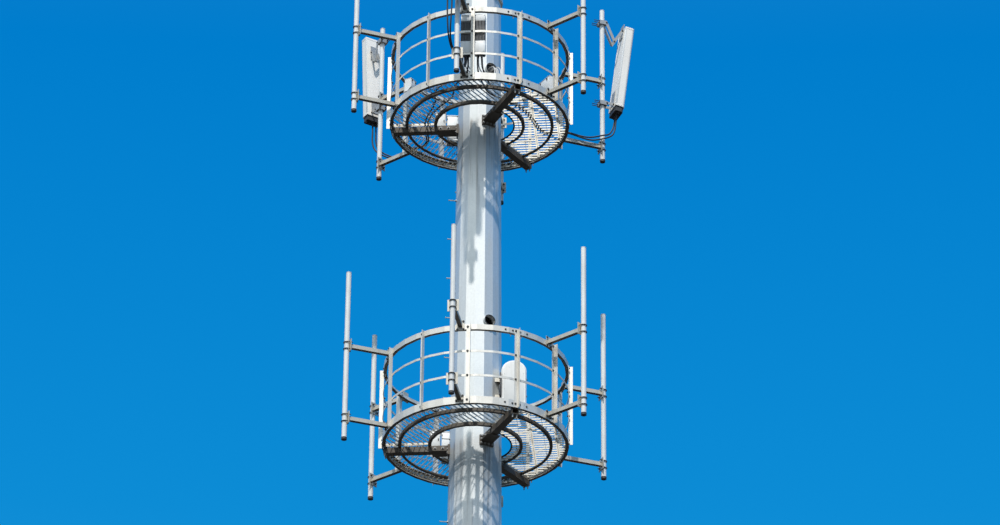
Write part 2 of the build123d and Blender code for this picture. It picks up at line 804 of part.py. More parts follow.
ring_edge = inner_ring_radius - floor_ring_width
sector_angle = 360 / segment_count
sector_gap = math.degrees(grating_clearance / inner_ring_radius)
sector_start = first_splice_bearing + sector_gap
sector_end = first_splice_bearing + sector_angle - sector_gap
floor_sector = grating(
    ring_radius - ring_thickness - grating_clearance, ring_edge, ring_sides, inner_ring_sides,
    sector_start, sector_end,
)
infill = Pos(0, 0, ring_thickness - floor_ring_height) * grating(
    inner_ring_radius - ring_thickness - infill_clearance, infill_inner_radius, inner_ring_sides,
    inner_ring_sides, sector_start, sector_end,
)
platform_pieces = {
    "floor_beams": floor_beams(),
    "floor_rings": floor_rings(),
    "toe_ring": toe_ring(),
    "rails": rails(),
    "splice_plates": splices(),
    "rail_posts": posts(),
    "lower_arms": arm(lower_inner_plate_height),
    "upper_arms": [Pos(0, 0, rail_height) * piece for piece in arm(upper_inner_plate_height)],
    "cabinets": cabinet_boxes(),
    "floor_infill": [infill],
}
for n, side in enumerate(("right", "rear", "left")):
    platform_pieces[f"grating_{side}"] = [Rot(0, 0, sector_angle * n) * floor_sector]
levels = (("lower", lower_floor_z, lower_pipe_rises), ("upper", upper_floor_z, upper_pipe_rises))
for level, floor, pipe_rises in levels:
    write(f"{level}_pole_brackets", pole_brackets(floor))
    write(f"{level}_antenna_pipes", pipes(pipe_rises), floor)
    for name, solids in platform_pieces.items():
        write(f"{level}_{name}", solids, floor)

for side, place in panels.items():
    write(f"{side}_panel_antenna", [panel(place)], upper_floor_z)
write("panel_feet", [panel_foot(place) for place in panels.values()], upper_floor_z)
write("panel_brackets", [piece for place in panels.values() for piece in panel_bracket(*place)], upper_floor_z)
write("side_boxes", side_boxes(), upper_floor_z)
write("enclosure", [enclosure()], lower_floor_z)
write("enclosure_carriers", enclosure_carriers(lower_floor_z))
units, crossbar = radio_units()
write("radio_units", units, upper_floor_z)
write("radio_plate", crossbar, upper_floor_z)

for side, routes in feeder_routes.items():
    for number in range(len(routes)):
        name = f"{side}_cable_{number + 1}"
        write(name, [cable(name, feeder_points(side, number), feeder_diameter)], upper_floor_z)
for number in range(len(jumper_routes)):
    name = f"jumper_{number + 1}"
    write(name, [cable(name, jumper_points(number), jumper_diameter)], upper_floor_z)
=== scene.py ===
import math

import bmesh
import bpy
from mathutils import Matrix, Vector


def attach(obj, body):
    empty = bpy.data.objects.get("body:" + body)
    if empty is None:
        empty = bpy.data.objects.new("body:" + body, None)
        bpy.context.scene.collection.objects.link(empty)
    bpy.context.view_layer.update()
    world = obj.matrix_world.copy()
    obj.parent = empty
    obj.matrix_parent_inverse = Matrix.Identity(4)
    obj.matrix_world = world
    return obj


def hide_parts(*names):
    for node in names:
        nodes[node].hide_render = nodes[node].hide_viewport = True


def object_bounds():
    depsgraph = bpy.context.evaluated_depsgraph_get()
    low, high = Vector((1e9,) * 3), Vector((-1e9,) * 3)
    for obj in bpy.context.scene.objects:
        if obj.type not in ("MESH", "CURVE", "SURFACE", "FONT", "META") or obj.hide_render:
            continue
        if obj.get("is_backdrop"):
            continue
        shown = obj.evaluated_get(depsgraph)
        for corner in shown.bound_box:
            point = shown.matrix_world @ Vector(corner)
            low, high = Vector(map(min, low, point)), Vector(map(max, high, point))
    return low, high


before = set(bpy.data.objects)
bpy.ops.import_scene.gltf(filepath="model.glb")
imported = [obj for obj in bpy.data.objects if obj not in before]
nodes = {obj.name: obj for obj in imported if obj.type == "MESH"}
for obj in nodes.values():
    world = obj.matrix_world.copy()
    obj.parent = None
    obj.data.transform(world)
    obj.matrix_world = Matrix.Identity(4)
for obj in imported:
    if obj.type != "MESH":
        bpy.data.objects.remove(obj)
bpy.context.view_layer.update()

# Camera, light and floor
# The camera stands on the ground in front of the tower and looks up at both platforms through a long
# lens. One sun stands at the front left. The blue backdrop is dim below and pale on the sun's side, and
# a small pale floor lies round the foot.
scene = bpy.context.scene
scene.view_settings.view_transform = "Standard"
camera_distance = 56.0
camera_height = 1.5
camera_pitch = 0.5201
camera_yaw = 0.006
camera_roll = 0.0099
camera_data = bpy.data.cameras.new("camera")
camera_data.lens = 153.98
camera_data.clip_end = 2000
camera = bpy.data.objects.new("camera", camera_data)
camera.matrix_world = (
    Matrix.Translation((0, -camera_distance, camera_height))
    @ Matrix.Rotation(-camera_yaw, 4, "Z")
    @ Matrix.Rotation(math.pi / 2 + camera_pitch, 4, "X")
    @ Matrix.Rotation(camera_roll, 4, "Z")
)
scene.collection.objects.link(camera)
scene.camera = camera

sun_bearing = math.radians(-9)
sun_elevation = math.radians(57.4)
sun_data = bpy.data.lights.new("sun", "SUN")
sun_data.energy = 3.9
sun_data.angle = math.radians(0.8)
sun_data.color = (1.0, 0.975, 0.93)
sun = bpy.data.objects.new("sun", sun_data)
towards_sun = Vector((
    math.sin(sun_bearing) * math.cos(sun_elevation),
    -math.cos(sun_bearing) * math.cos(sun_elevation),
    math.sin(sun_elevation),
))
sun.rotation_mode = "QUATERNION"
sun.rotation_quaternion = towards_sun.to_track_quat("Z", "Y")
scene.collection.objects.link(sun)


class Wire:
    """A value in a node tree. Arithmetic on it adds Math nodes, and add() adds any other node."""

    def __init__(self, tree, socket=None):
        self.tree = tree
        self.socket = socket

    def add(self, kind, settings=None, inputs=None, output=0):
        made = self.tree.nodes.new(kind)
        for name, value in (settings or {}).items():
            if name == "stops":
                ramp = made.color_ramp.elements
                while len(ramp) < len(value):
                    ramp.new(0.5)
                for stop, (place, colour) in zip(ramp, value):
                    stop.position = place
                    stop.color = colour
            else:
                setattr(made, name, value)
        for name, value in (inputs or {}).items():
            if isinstance(value, Wire):
                self.tree.links.new(value.socket, made.inputs[name])
            else:
                made.inputs[name].default_value = value
        return Wire(self.tree, made.outputs[output])

    def maths(self, operation, first, second):
        return self.add("ShaderNodeMath", {"operation": operation}, {0: first, 1: second})

    def __add__(self, other):
        return self.maths("ADD", self, other)

    def __sub__(self, other):
        return self.maths("SUBTRACT", self, other)

    def __rsub__(self, other):
        return self.maths("SUBTRACT", other, self)

    def __mul__(self, other):
        return self.maths("MULTIPLY", self, other)

    __radd__ = __add__
    __rmul__ = __mul__

    def between(self, low, high):
        """0 below low, 1 above high, smooth in between."""
        return self.add(
            "ShaderNodeMapRange",
            {"interpolation_type": "SMOOTHSTEP"},
            {"Value": self, "From Min": low, "From Max": high},
        )

    def blend(self, first, second):
        """Goes from the first colour to the second as this value goes from 0 to 1."""
        # Sockets 6 and 7 take the colours of a Mix node, and its third output gives the mixed one
        return self.add("ShaderNodeMix", {"data_type": "RGBA"}, {0: self, 6: first, 7: second}, 2)

    def axis(self, number):
        """X, Y or Z of this vector, for number 0, 1 or 2."""
        return self.add("ShaderNodeSeparateXYZ", inputs={0: self}, output=number)


world = bpy.data.worlds.new("backdrop")
world.use_nodes = True
scene.world = world
backdrop_stops = (
    (0.20, (0.03, 0.03, 0.03, 1)),
    (0.35, (0.08, 0.08, 0.08, 1)),
    (0.475, (0.16, 0.17, 0.17, 1)),
    (0.53, (0.38, 0.50, 0.60, 1)),
    (0.64, (0.08, 0.36, 0.72, 1)),
    (0.72, (0.004, 0.265, 0.67, 1)),
    (0.77, (0.0, 0.205, 0.61, 1)),
    (1.00, (0.10, 0.30, 0.58, 1)),
)
haze_side = (-0.5, -0.87)
haze_colour = (0.96, 1.10, 1.18, 1)
direction = Wire(world.node_tree).add("ShaderNodeTexCoord", output=0)
height = direction.axis(2)
sky = height.add("ShaderNodeValToRGB", {"stops": backdrop_stops}, {0: height * 0.5 + 0.5})
towards_haze = direction.axis(0) * haze_side[0] + direction.axis(1) * haze_side[1]
haze = towards_haze.between(0.0, 0.9) * height.between(0.0, 0.3)
sky = haze.blend(sky, haze_colour)
background = world.node_tree.nodes["Background"]
world.node_tree.links.new(sky.socket, background.inputs["Color"])


def start_material(name):
    """A new material, and the place on its surface in metres as the first wire of its nodes."""
    made = bpy.data.materials.new(name)
    made.use_nodes = True
    return made, Wire(made.node_tree).add("ShaderNodeTexCoord", output=3)


def end_material(made, colour, roughness, relief, depth, metallic=0.0):
    """Feeds the shader colour and roughness, and the relief as bumps of this depth in metres."""
    shader = made.node_tree.nodes["Principled BSDF"]
    bump = relief.add("ShaderNodeBump", inputs={"Height": relief, "Strength": 0.6, "Distance": depth})
    for name, wire in (("Base Color", colour), ("Roughness", roughness), ("Normal", bump)):
        made.node_tree.links.new(wire.socket, shader.inputs[name])
    shader.inputs["Metallic"].default_value = metallic
    return made


def noise(place, scale, detail=4.0, stretch=(1, 1, 1)):
    """Noise about 0.5 with this many turns in a metre. A small stretch draws it out along an axis."""
    drawn = place.add("ShaderNodeVectorMath", {"operation": "MULTIPLY"}, {0: place, 1: stretch})
    return place.add(
        "ShaderNodeTexNoise",
        inputs={"Vector": drawn, "Scale": scale, "Detail": detail, "Roughness": 0.6},
    )


floor_radius = 9.0
floor_grey = (0.40, 0.40, 0.385, 1)
floor_pale = (0.47, 0.47, 0.455, 1)
floor_mesh = bpy.data.meshes.new("floor")
floor_shape = bmesh.new()
bmesh.ops.create_circle(floor_shape, cap_ends=True, segments=96, radius=floor_radius)
floor_shape.to_mesh(floor_mesh)
floor = bpy.data.objects.new("floor", floor_mesh)
floor.location.z = -0.002
floor_paint, floor_place = start_material("floor_paint")
floor_cloud = noise(floor_place, 0.8)
floor_colour = floor_cloud.blend(floor_grey, floor_pale)
end_material(floor_paint, floor_colour, floor_cloud * 0.1 + 0.75, noise(floor_place, 60), 0.001)
floor.data.materials.append(floor_paint)
scene.collection.objects.link(floor)
floor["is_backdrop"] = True

# Cables
# Black feeders run from the feet of the panels over the floor to the radio units, and pale jumpers fall
# from the units and curl up into the port in the pole. Rubber sheaths, with moulded boots at their ends.
upper_floor = 36.03
pipe_circle = 2.036
feeder_diameter = 0.024
jumper_diameter = 0.016

# Each panel's bearing, turn, height of its foot, lean and distance from the middle of its pipe
panel_sides = {
    "left": (230, -18, 1.0, 4, 0.17),
    "right": (110, 0, 0.76, 7, 0.165),
    "front": (350, 0, 1.0, 4, 0.15),
}
feeder_socket_sides = {"left": (0, -0.06), "right": (-0.03, 0.035), "front": (-0.115, -0.048)}
unit_sockets = {
    "left": ((1.296, -0.16), (1.3, -0.07)),
    "right": ((1.3, 0.14), (1.3, 0.07)),
    "front": ((1.324, -0.095), (1.274, -0.118)),
}
jumper_sockets = ((1.245, -0.13), (1.245, -0.085), (1.245, 0.08), (1.245, 0.125))
port_reach = 0.3165
jumper_port_places = ((-0.035, -0.02), (-0.012, -0.042), (0.015, -0.038), (0.038, -0.015))
port_bearing = 28.75
upper_port = upper_floor + 0.81
foot_socket_out = 0.0775
foot_socket_drop = 0.09
straight_start = 0.165
straight_end = 0.13
unit_bearing = 355
unit_rise = 0.44

# Turns of the cables between their ends: bearing, radius and height above the upper floor
feeder_routes = {
    "left": (
        (
            (228.4, 2.258, 0.57), (228.2, 2.228, 0.43), (227.7, 2.165, 0.335), (226.9, 2.06, 0.25),
            (226.3, 1.94, 0.165), (226, 1.79, 0.118), (226, 1.63, 0.122), (226.2, 1.48, 0.13),
            (227, 1.34, 0.11), (228.2, 1.2, 0.056), (230.5, 1.08, 0.035), (235, 0.99, 0.035),
            (242, 0.93, 0.035), (252, 0.89, 0.035), (263, 0.855, 0.035), (275, 0.822, 0.035),
            (288, 0.805, 0.035), (300, 0.815, 0.035), (309, 0.87, 0.035), (315, 0.965, 0.035),
            (320, 1.07, 0.035), (327, 1.16, 0.035), (335, 1.212, 0.035), (341.6, 1.238, 0.042),
            (346.3, 1.268, 0.105), (347.7, 1.294, 0.205),
        ),
        (
            (226.9, 2.236, 0.6), (226.7, 2.208, 0.46), (226.2, 2.135, 0.355), (225.4, 2.02, 0.265),
            (224.9, 1.89, 0.172), (224.7, 1.745, 0.122), (224.7, 1.59, 0.124), (224.9, 1.44, 0.126),
            (225.8, 1.3, 0.1), (227.2, 1.165, 0.05), (230, 1.045, 0.035), (236, 0.945, 0.035),
            (245, 0.882, 0.035), (255, 0.838, 0.035), (266, 0.802, 0.035), (278, 0.768, 0.035),
            (291, 0.748, 0.035), (304, 0.742, 0.035), (317, 0.752, 0.035), (327, 0.8, 0.035),
            (333, 0.89, 0.035), (336.5, 0.995, 0.035), (339.5, 1.1, 0.035), (344, 1.185, 0.035),
            (348.5, 1.232, 0.055), (351, 1.268, 0.14), (351.8, 1.292, 0.225),
        ),
    ),
    "right": (
        (
            (109, 2.235, 0.37), (108.1, 2.185, 0.235), (107.1, 2.085, 0.148), (106.8, 1.95, 0.085),
            (106.9, 1.82, 0.045), (107, 1.68, 0.058), (107.2, 1.54, 0.092), (107.4, 1.41, 0.115),
            (107.4, 1.29, 0.092), (106.8, 1.17, 0.05), (105, 1.06, 0.035), (101, 0.965, 0.035),
            (93, 0.895, 0.035), (82, 0.845, 0.035), (69, 0.812, 0.035), (56, 0.792, 0.035),
            (43, 0.782, 0.035), (30, 0.792, 0.035), (19, 0.85, 0.035), (12, 0.945, 0.035),
            (8.5, 1.06, 0.035), (6, 1.165, 0.04), (3.2, 1.24, 0.095), (1.6, 1.29, 0.19),
        ),
        (
            (110.4, 2.215, 0.395), (109.6, 2.165, 0.303), (108.4, 2.11, 0.232), (107.6, 2.02, 0.192),
            (107.4, 1.91, 0.14), (107.4, 1.795, 0.102), (107.6, 1.67, 0.098), (107.9, 1.54, 0.122),
            (108.3, 1.41, 0.143), (108.4, 1.29, 0.12), (108.1, 1.165, 0.068), (106.5, 1.045, 0.035),
            (102, 0.93, 0.035), (93, 0.855, 0.035), (81, 0.802, 0.035), (67, 0.77, 0.035),
            (53, 0.748, 0.035), (39, 0.74, 0.035), (25, 0.75, 0.035), (13, 0.8, 0.035),
            (6.5, 0.895, 0.035), (3.8, 1.005, 0.035), (2, 1.11, 0.035), (0.3, 1.2, 0.05),
            (358.7, 1.262, 0.125), (358.2, 1.292, 0.215),
        ),
    ),
    "front": (
        (
            (347.1, 2.262, 0.59), (347.2, 2.25, 0.44), (347.2, 2.215, 0.3), (347.2, 2.14, 0.2),
            (347.2, 2.04, 0.152), (347.3, 1.945, 0.135), (347.7, 1.84, 0.124), (348.8, 1.725, 0.112),
            (350, 1.6, 0.102), (350.4, 1.45, 0.112), (350.8, 1.352, 0.215),
        ),
        (
            (348.7, 2.262, 0.59), (348.5, 2.25, 0.46), (348.1, 2.215, 0.34), (347.8, 2.145, 0.24),
            (347.6, 2.05, 0.186), (347.6, 1.95, 0.167), (347.8, 1.845, 0.153), (348.2, 1.725, 0.14),
            (348.7, 1.6, 0.128), (348.9, 1.465, 0.132), (349.3, 1.345, 0.205),
        ),
    ),
}
jumper_routes = (
    (
        (350.3, 1.212, 0.225), (354, 1.108, 0.19), (0, 0.985, 0.203), (7, 0.862, 0.265),
        (14.5, 0.748, 0.375), (20.5, 0.65, 0.52), (23.6, 0.555, 0.69),
    ),
    (
        (352.2, 1.204, 0.238), (356.2, 1.112, 0.206), (2.4, 0.996, 0.222), (9.2, 0.88, 0.282),
        (16.8, 0.768, 0.385), (22.8, 0.662, 0.518), (26.5, 0.56, 0.662),
    ),
    (
        (359.4, 1.208, 0.222), (2.6, 1.098, 0.198), (8, 0.968, 0.226), (14.5, 0.842, 0.308),
        (20.8, 0.73, 0.425), (26.2, 0.628, 0.555), (29.8, 0.546, 0.68),
    ),
    (
        (1.5, 1.208, 0.224), (5.3, 1.096, 0.206), (10.8, 0.972, 0.24), (17.6, 0.85, 0.322),
        (24, 0.738, 0.442), (29.6, 0.638, 0.578), (33.2, 0.555, 0.712),
    ),
)


def spot(bearing, radius, height):
    """The place at a bearing and radius, with local X pointing outward."""
    turn = math.radians(bearing)
    middle = (radius * math.sin(turn), -radius * math.cos(turn), height)
    return Matrix.Translation(middle) @ Matrix.Rotation(turn - math.pi / 2, 4, "Z")


def shift(x, y, z):
    return Matrix.Translation((x, y, z))


def turned(degrees, axis):
    return Matrix.Rotation(math.radians(degrees), 4, axis)


def panel_place(side):
    """The middle of the back of a panel at its foot, leaning with it."""
    bearing, turn, foot, lean, stand_off = panel_sides[side]
    pipe = spot(bearing, pipe_circle, upper_floor) @ turned(turn, "Z")
    return pipe @ shift(stand_off, 0, foot) @ turned(lean, "Y")


def new_piece(name, shape, finish, sharp=30):
    """Makes a shape into a piece that rides on the tower. Edges sharper than this angle stay crisp."""
    mesh = bpy.data.meshes.new(name)
    shape.to_mesh(mesh)
    shape.free()
    mesh.shade_smooth()
    mesh.set_sharp_from_angle(angle=math.radians(sharp))
    mesh.materials.append(finish)
    piece = bpy.data.objects.new(name, mesh)
    scene.collection.objects.link(piece)
    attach(piece, "root")
    return piece


def add_cone(shape, place, length, low_radius, high_radius, sides=16):
    """A round or many-sided body that stands on the place and runs along its Z."""
    bmesh.ops.create_cone(
        shape, cap_ends=True, segments=sides, radius1=low_radius, radius2=high_radius, depth=length,
        matrix=place @ shift(0, 0, length / 2),
    )


def upward(place):
    """How far the surface faces up, from -1 to 1."""
    return place.add("ShaderNodeNewGeometry", output=1).axis(2)


def rubber(name, colour, dust):
    """A sheath with dust on its upper side and small scuffs that are paler and glossier."""
    made, place = start_material(name)
    scuffs = noise(place, 35, 6).between(0.55, 0.75)
    tone = upward(place).between(0.1, 1.0) * 0.5 + scuffs * 0.35
    relief = noise(place, 220, 3)
    return end_material(made, tone.blend(colour, dust), 0.62 - scuffs * 0.18, relief, 0.0006)


black_rubber = rubber("black_sheath", (0.018, 0.018, 0.02, 1), (0.07, 0.068, 0.064, 1))
pale_rubber = rubber("pale_sheath", (0.56, 0.56, 0.55, 1), (0.42, 0.41, 0.39, 1))


def add_boot(shape, end, towards, cable_radius):
    """A collar over a socket, and four ribs that taper from it down to the cable."""
    along = shift(*end) @ (towards - end).to_track_quat("Z", "Y").to_matrix().to_4x4()
    add_cone(shape, along @ shift(0, 0, -0.004), 0.022, cable_radius * 1.75, cable_radius * 1.65)
    for rib in range(4):
        rib_start = 0.018 + 0.012 * rib
        rib_radius = cable_radius * (1.55 - 0.12 * rib)
        add_cone(shape, along @ shift(0, 0, rib_start), 0.013, rib_radius, rib_radius * 0.9)


def add_cable(name, points, diameter, node, sheath, boots):
    """A smooth cable through its route, with a boot at each end that plugs in."""
    curve = bpy.data.curves.new(name, "CURVE")
    curve.dimensions = "3D"
    curve.bevel_depth = diameter / 2
    curve.bevel_resolution = 3
    curve.resolution_u = 10
    curve.use_fill_caps = True
    line = curve.splines.new("NURBS")
    line.points.add(len(points) - 1)
    for control, point in zip(line.points, points):
        control.co = (*point, 1)
    line.order_u = 3
    line.use_endpoint_u = True
    curve.materials.append(sheath)
    cable = bpy.data.objects.new(name, curve)
    scene.collection.objects.link(cable)
    boot_shape = bmesh.new()
    for end, towards in boots:
        add_boot(boot_shape, end, towards, diameter / 2)
    boot = new_piece(f"{name}_boots", boot_shape, black_rubber)
    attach(cable, "root")
    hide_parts(node)


def route_points(route):
    return [spot(bearing, radius, upper_floor + height).translation for bearing, radius, height in route]


unit_frame = spot(unit_bearing, 0, upper_floor + unit_rise)


def unit_end(x, y):
    """A socket under a radio unit, and the point where its cable starts to bend."""
    socket = unit_frame @ shift(x, y, 0)
    return socket.translation, (socket @ shift(0, 0, -straight_end)).translation


for side, routes in feeder_routes.items():
    for number, route in enumerate(routes):
        y = feeder_socket_sides[side][number]
        foot = panel_place(side) @ shift(foot_socket_out, y, -foot_socket_drop)
        top, below_top = foot.translation, (foot @ shift(0, 0, -straight_start)).translation
        socket, below = unit_end(*unit_sockets[side][number])
        add_cable(
            f"{side}_feeder_{number + 1}", [top, below_top, *route_points(route), below, socket],
            feeder_diameter, f"{side}_cable_{number + 1}", black_rubber,
            ((top, below_top), (socket, below)),
        )

for number, route in enumerate(jumper_routes):
    socket, below = unit_end(*jumper_sockets[number])
    across, up = jumper_port_places[number]
    port_end = spot(port_bearing, port_reach, upper_port) @ shift(0, across, up)
    before_port = (port_end @ shift(straight_end, 0, 0)).translation
    points = [socket, below, *route_points(route), before_port, port_end.translation]
    add_cable(
        f"radio_jumper_{number + 1}", points, jumper_diameter,
        f"jumper_{number + 1}", pale_rubber, ((socket, below),),
    )

# Pole
# Three tapered tubes of galvanised plate with sixteen flat faces, slipped over each other, and a short
# top section. Rain has drawn faint streaks down it, rust drips run down below each platform, and just
# under each floor a grey band of painted shade and dark reflection darkens it.
lower_floor = 30.5
joint_heights = (12.8, 25.4, 38.21)
facet_turn = math.pi / 16
pole_width = 1.33
pole_taper = 0.0195
wall_and_gap = 0.0083
pole_pale = (0.76, 0.77, 0.75, 1)
pole_dull = (0.56, 0.57, 0.56, 1)
rust_brown = (0.13, 0.095, 0.065, 1)
painted_shade_grey = (0.16, 0.19, 0.21, 1)
earth_grey = (0.33, 0.32, 0.29, 1)


def facet_distance(height):
    """From the axis of the pole to its flat faces."""
    joints = sum(height > joint for joint in joint_heights)
    width = pole_width - pole_taper * height + joints * 2 * wall_and_gap / math.cos(facet_turn)
    return width / 2 * math.cos(facet_turn)


def dress(names, finish):
    for name in names:
        nodes[name].data.materials.clear()
        nodes[name].data.materials.append(finish)


def zinc_crystals(place, scale):
    """A tone of its own for each crystal of the zinc, with this many crystals in a metre."""
    crystals = place.add("ShaderNodeTexVoronoi", inputs={"Vector": place, "Scale": scale}, output=1)
    return crystals.add("ShaderNodeSeparateColor", inputs={0: crystals})


def pole_zinc():
    """The pole's own galvanising, with rust drips that fade out below each platform, and painted shade
    just under each floor.
    """
    made, place = start_material("pole_zinc")
    height = place.axis(2)
    cloud = noise(place, 0.9).between(0.34, 0.68)
    rain = noise(place, 13, 3, (1, 1, 0.045)).between(0.46, 0.76)
    crystal = zinc_crystals(place, 48.0)
    tone = (cloud * 0.4 + rain * 0.35 + crystal * 0.22).blend(pole_pale, pole_dull)
    drips = noise(place, 17, 4, (1, 1, 0.03)).between(0.5, 0.68)
    for floor_height in (lower_floor, upper_floor):
        below = (floor_height - 0.06) - height
        rusty = below.between(0.0, 0.12) * (1 - below.between(0.5, 2.6))
        tone = (rusty * drips * 0.55).blend(tone, rust_brown)
        # A band of painted shade and dark reflection on the pole just under each floor
        painted_shade_band = below.between(0.12, 0.4) * (1 - below.between(0.5, 1.1))
        tone = (painted_shade_band * (0.3 + cloud * 0.25)).blend(tone, painted_shade_grey)
    foot = 1 - height.between(0.1, 1.6)
    tone = (foot * cloud * 0.5).blend(tone, earth_grey)
    relief = crystal * 0.3 + noise(place, 130, 3) * 0.7 + rain * 0.3
    return end_material(made, tone, cloud * 0.14 + rain * 0.1 + 0.34, relief, 0.0009, 0.5)


pole_steel = pole_zinc()
pole_sections = ("pole_base_section", "pole_middle_section", "pole_platform_section", "pole_top_section")
dress(pole_sections, pole_steel)

# Foot of the pole
# A ring of anchor studs stands up through the flange, each with a washer and a nut, and one thick weld
# joins the pole to the flange. The hand hole is closed by a plate with six bolts.
flange_top = 0.06
anchor_circle = 0.76
cover_height = 1.2
cover_bearing = 6.25
cover_thickness = 0.0063
face_lean = 0.548
# Brown for dirt specks, and for painted shade on what faces down
dirt_and_shade_brown = (0.10, 0.085, 0.07, 1)
outward = turned(90, "Y")


def facing_down(place):
    """0 on what faces up or sideways, 1 on what faces down."""
    return (upward(place) * -1).between(0.2, 0.9)


def zinc(name, pale, dull, roughness, clouds, underside_grime_and_shade, metallic=0.0):
    """Weathered galvanising: broad clouds, rain streaks, crystals, and painted shade with some dirt on
    what faces down.
    """
    made, place = start_material(name)
    cloud = noise(place, clouds).between(0.36, 0.66)
    rain = noise(place, 11, 3, (1, 1, 0.07)).between(0.48, 0.74)
    crystal = zinc_crystals(place, 70.0)
    tone = (cloud * 0.45 + rain * 0.35 + crystal * 0.2).blend(pale, dull)
    specks = noise(place, 26, 5).between(0.66, 0.78)
    tone = (specks * 0.4).blend(tone, dirt_and_shade_brown)
    # Faces turned down are darkened towards brown: painted shade for the undersides, with some dirt
    tone = (facing_down(place) * underside_grime_and_shade).blend(tone, dirt_and_shade_brown)
    relief = crystal * 0.35 + noise(place, 190, 3)
    gloss = cloud * 0.12 + crystal * 0.06 + roughness - 0.08
    return end_material(made, tone, gloss, relief, 0.0007, metallic)


def repeated(part, places):
    """One shape with a copy of the part at each place."""
    mesh = bpy.data.meshes.new("part")
    part.to_mesh(mesh)
    part.free()
    whole = bmesh.new()
    for place in places:
        first = len(whole.verts)
        whole.from_mesh(mesh)
        whole.verts.ensure_lookup_table()
        bmesh.ops.transform(whole, matrix=place, verts=whole.verts[first:])
    bpy.data.meshes.remove(mesh)
    return whole


def start_fastener(size, head):
    """A hexagon of this height on a round washer that stands on height 0, for a thread of this size."""
    part = bmesh.new()
    add_cone(part, shift(0, 0, 0), 0.18 * size, 1.12 * size, 1.08 * size, 20)
    add_cone(part, shift(0, 0, 0.18 * size), head, 0.87 * size, 0.87 * size, 6)
    return part


def bolt(size):
    """A bolt's head with a chamfered top, on its washer."""
    part = start_fastener(size, 0.52 * size)
    add_cone(part, shift(0, 0, 0.7 * size), 0.12 * size, 0.84 * size, 0.70 * size, 12)
    return part


def stud(size, reach, start=0.0):
    """A nut on its washer, and the threaded end that stands out of it by this reach."""
    part = start_fastener(size, 0.8 * size)
    end = 0.98 * size + reach
    add_cone(part, shift(0, 0, start), end - start, 0.5 * size, 0.5 * size, 12)
    add_cone(part, shift(0, 0, end), 0.12 * size, 0.5 * size, 0.34 * size, 12)
    return part


def rod(points, radius, sides, closed=False):
    """A round bar bent along the points."""
    part = bmesh.new()
    points = [Vector(point) for point in points]
    count = len(points)
    rings = []
    side = None
    for n, point in enumerate(points):
        before = points[n - 1] if closed or n else point
        after = points[(n + 1) % count] if closed or n + 1 < count else point
        ahead = (after - before).normalized()
        side = ahead.orthogonal() if side is None else side - ahead * side.dot(ahead)
        side.normalize()
        across = ahead.cross(side)
        ring = []
        for corner in range(sides):
            turn = 2 * math.pi * corner / sides
            edge = math.cos(turn) * side + math.sin(turn) * across
            ring.append(part.verts.new(point + radius * edge))
        rings.append(ring)
    next_rings = rings[1:] + rings[:1] if closed else rings[1:]
    for ring, following in zip(rings, next_rings):
        for corner in range(sides):
            after = (corner + 1) % sides
            part.faces.new((ring[corner], ring[after], following[after], following[corner]))
    if not closed:
        part.faces.new(reversed(rings[0]))
        part.faces.new(rings[-1])
    return part


def corner_distance(height):
    """From the axis of the pole to its corners."""
    return facet_distance(height) / math.cos(facet_turn)


dress(("base_flange", "access_cover"), pole_steel)
fitting_steel = zinc("fitting_zinc", (0.44, 0.44, 0.43, 1), (0.30, 0.30, 0.29, 1), 0.45, 4.0, 0.4, 0.35)
anchor_places = [spot(15 + 30 * n, anchor_circle, flange_top) for n in range(12)]
anchor_shape = repeated(stud(0.048, 0.07, -0.05), anchor_places)
new_piece("anchor_studs", anchor_shape, fitting_steel)

weld_radius = corner_distance(flange_top) + 0.004
weld_points = [spot(17.5 + 22.5 * n, weld_radius, flange_top + 0.005).translation for n in range(16)]
new_piece("foot_weld", rod(weld_points, 0.014, 8, True), pole_steel, 60)

cover_front = facet_distance(cover_height) + cover_thickness
cover_face = spot(cover_bearing, cover_front, cover_height) @ turned(-face_lean, "Y")
cover_bolts = [cover_face @ shift(0, y, z) @ outward for y in (-0.088, 0.088) for z in (-0.25, 0, 0.25)]
new_piece("cover_bolts", repeated(bolt(0.012), cover_bolts), fitting_steel)

# Climbing pegs, cap and rod
# Hexagon pegs stand in two rows on welded bosses, with a button head on each. The cap is bolted down at
# its edge, and the rod stands in a socket on it.
first_peg = 3.0
peg_pitch = 0.34
highest_peg = 38.6
peg_bearings = (-128.75, -83.75)
peg_room = 0.036
bracket_top = 0.058
bracket_depth = 0.18
joint_depth = 0.118
cap_top = 39.2
cap_bolt_circle = 0.262
dress(("lightning_rod", "climbing_pegs"), fitting_steel)
dress(("pole_cap",), pole_steel)
peg_places = []
for n in range(105):
    peg_height = first_peg + peg_pitch * n
    drops = [floor_height - bracket_top - peg_height for floor_height in (lower_floor, upper_floor)]
    at_bracket = any(-peg_room < drop < bracket_depth for drop in drops)
    at_joint = any(-peg_room < peg_height - joint < joint_depth for joint in joint_heights)
    if not (at_bracket or at_joint or peg_height > highest_peg):
        face = spot(peg_bearings[n % 2], facet_distance(peg_height), peg_height)
        peg_places.append(face @ outward)
peg_fitting = bmesh.new()
add_cone(peg_fitting, shift(0, 0, 0), 0.014, 0.019, 0.016, 14)
add_cone(peg_fitting, shift(0, 0, 0.114), 0.007, 0.012, 0.012, 14)
new_piece("peg_fittings", repeated(peg_fitting, peg_places), fitting_steel)

cap_bolts = [spot(28.75 + 45 * n, cap_bolt_circle, cap_top) for n in range(8)]
new_piece("cap_bolts", repeated(bolt(0.012), cap_bolts), fitting_steel)
rod_socket = bmesh.new()
add_cone(rod_socket, shift(0, 0, cap_top), 0.012, 0.055, 0.055, 24)
add_cone(rod_socket, shift(0, 0, cap_top + 0.012), 0.05, 0.026, 0.02, 24)
new_piece("rod_socket", rod_socket, fitting_steel)

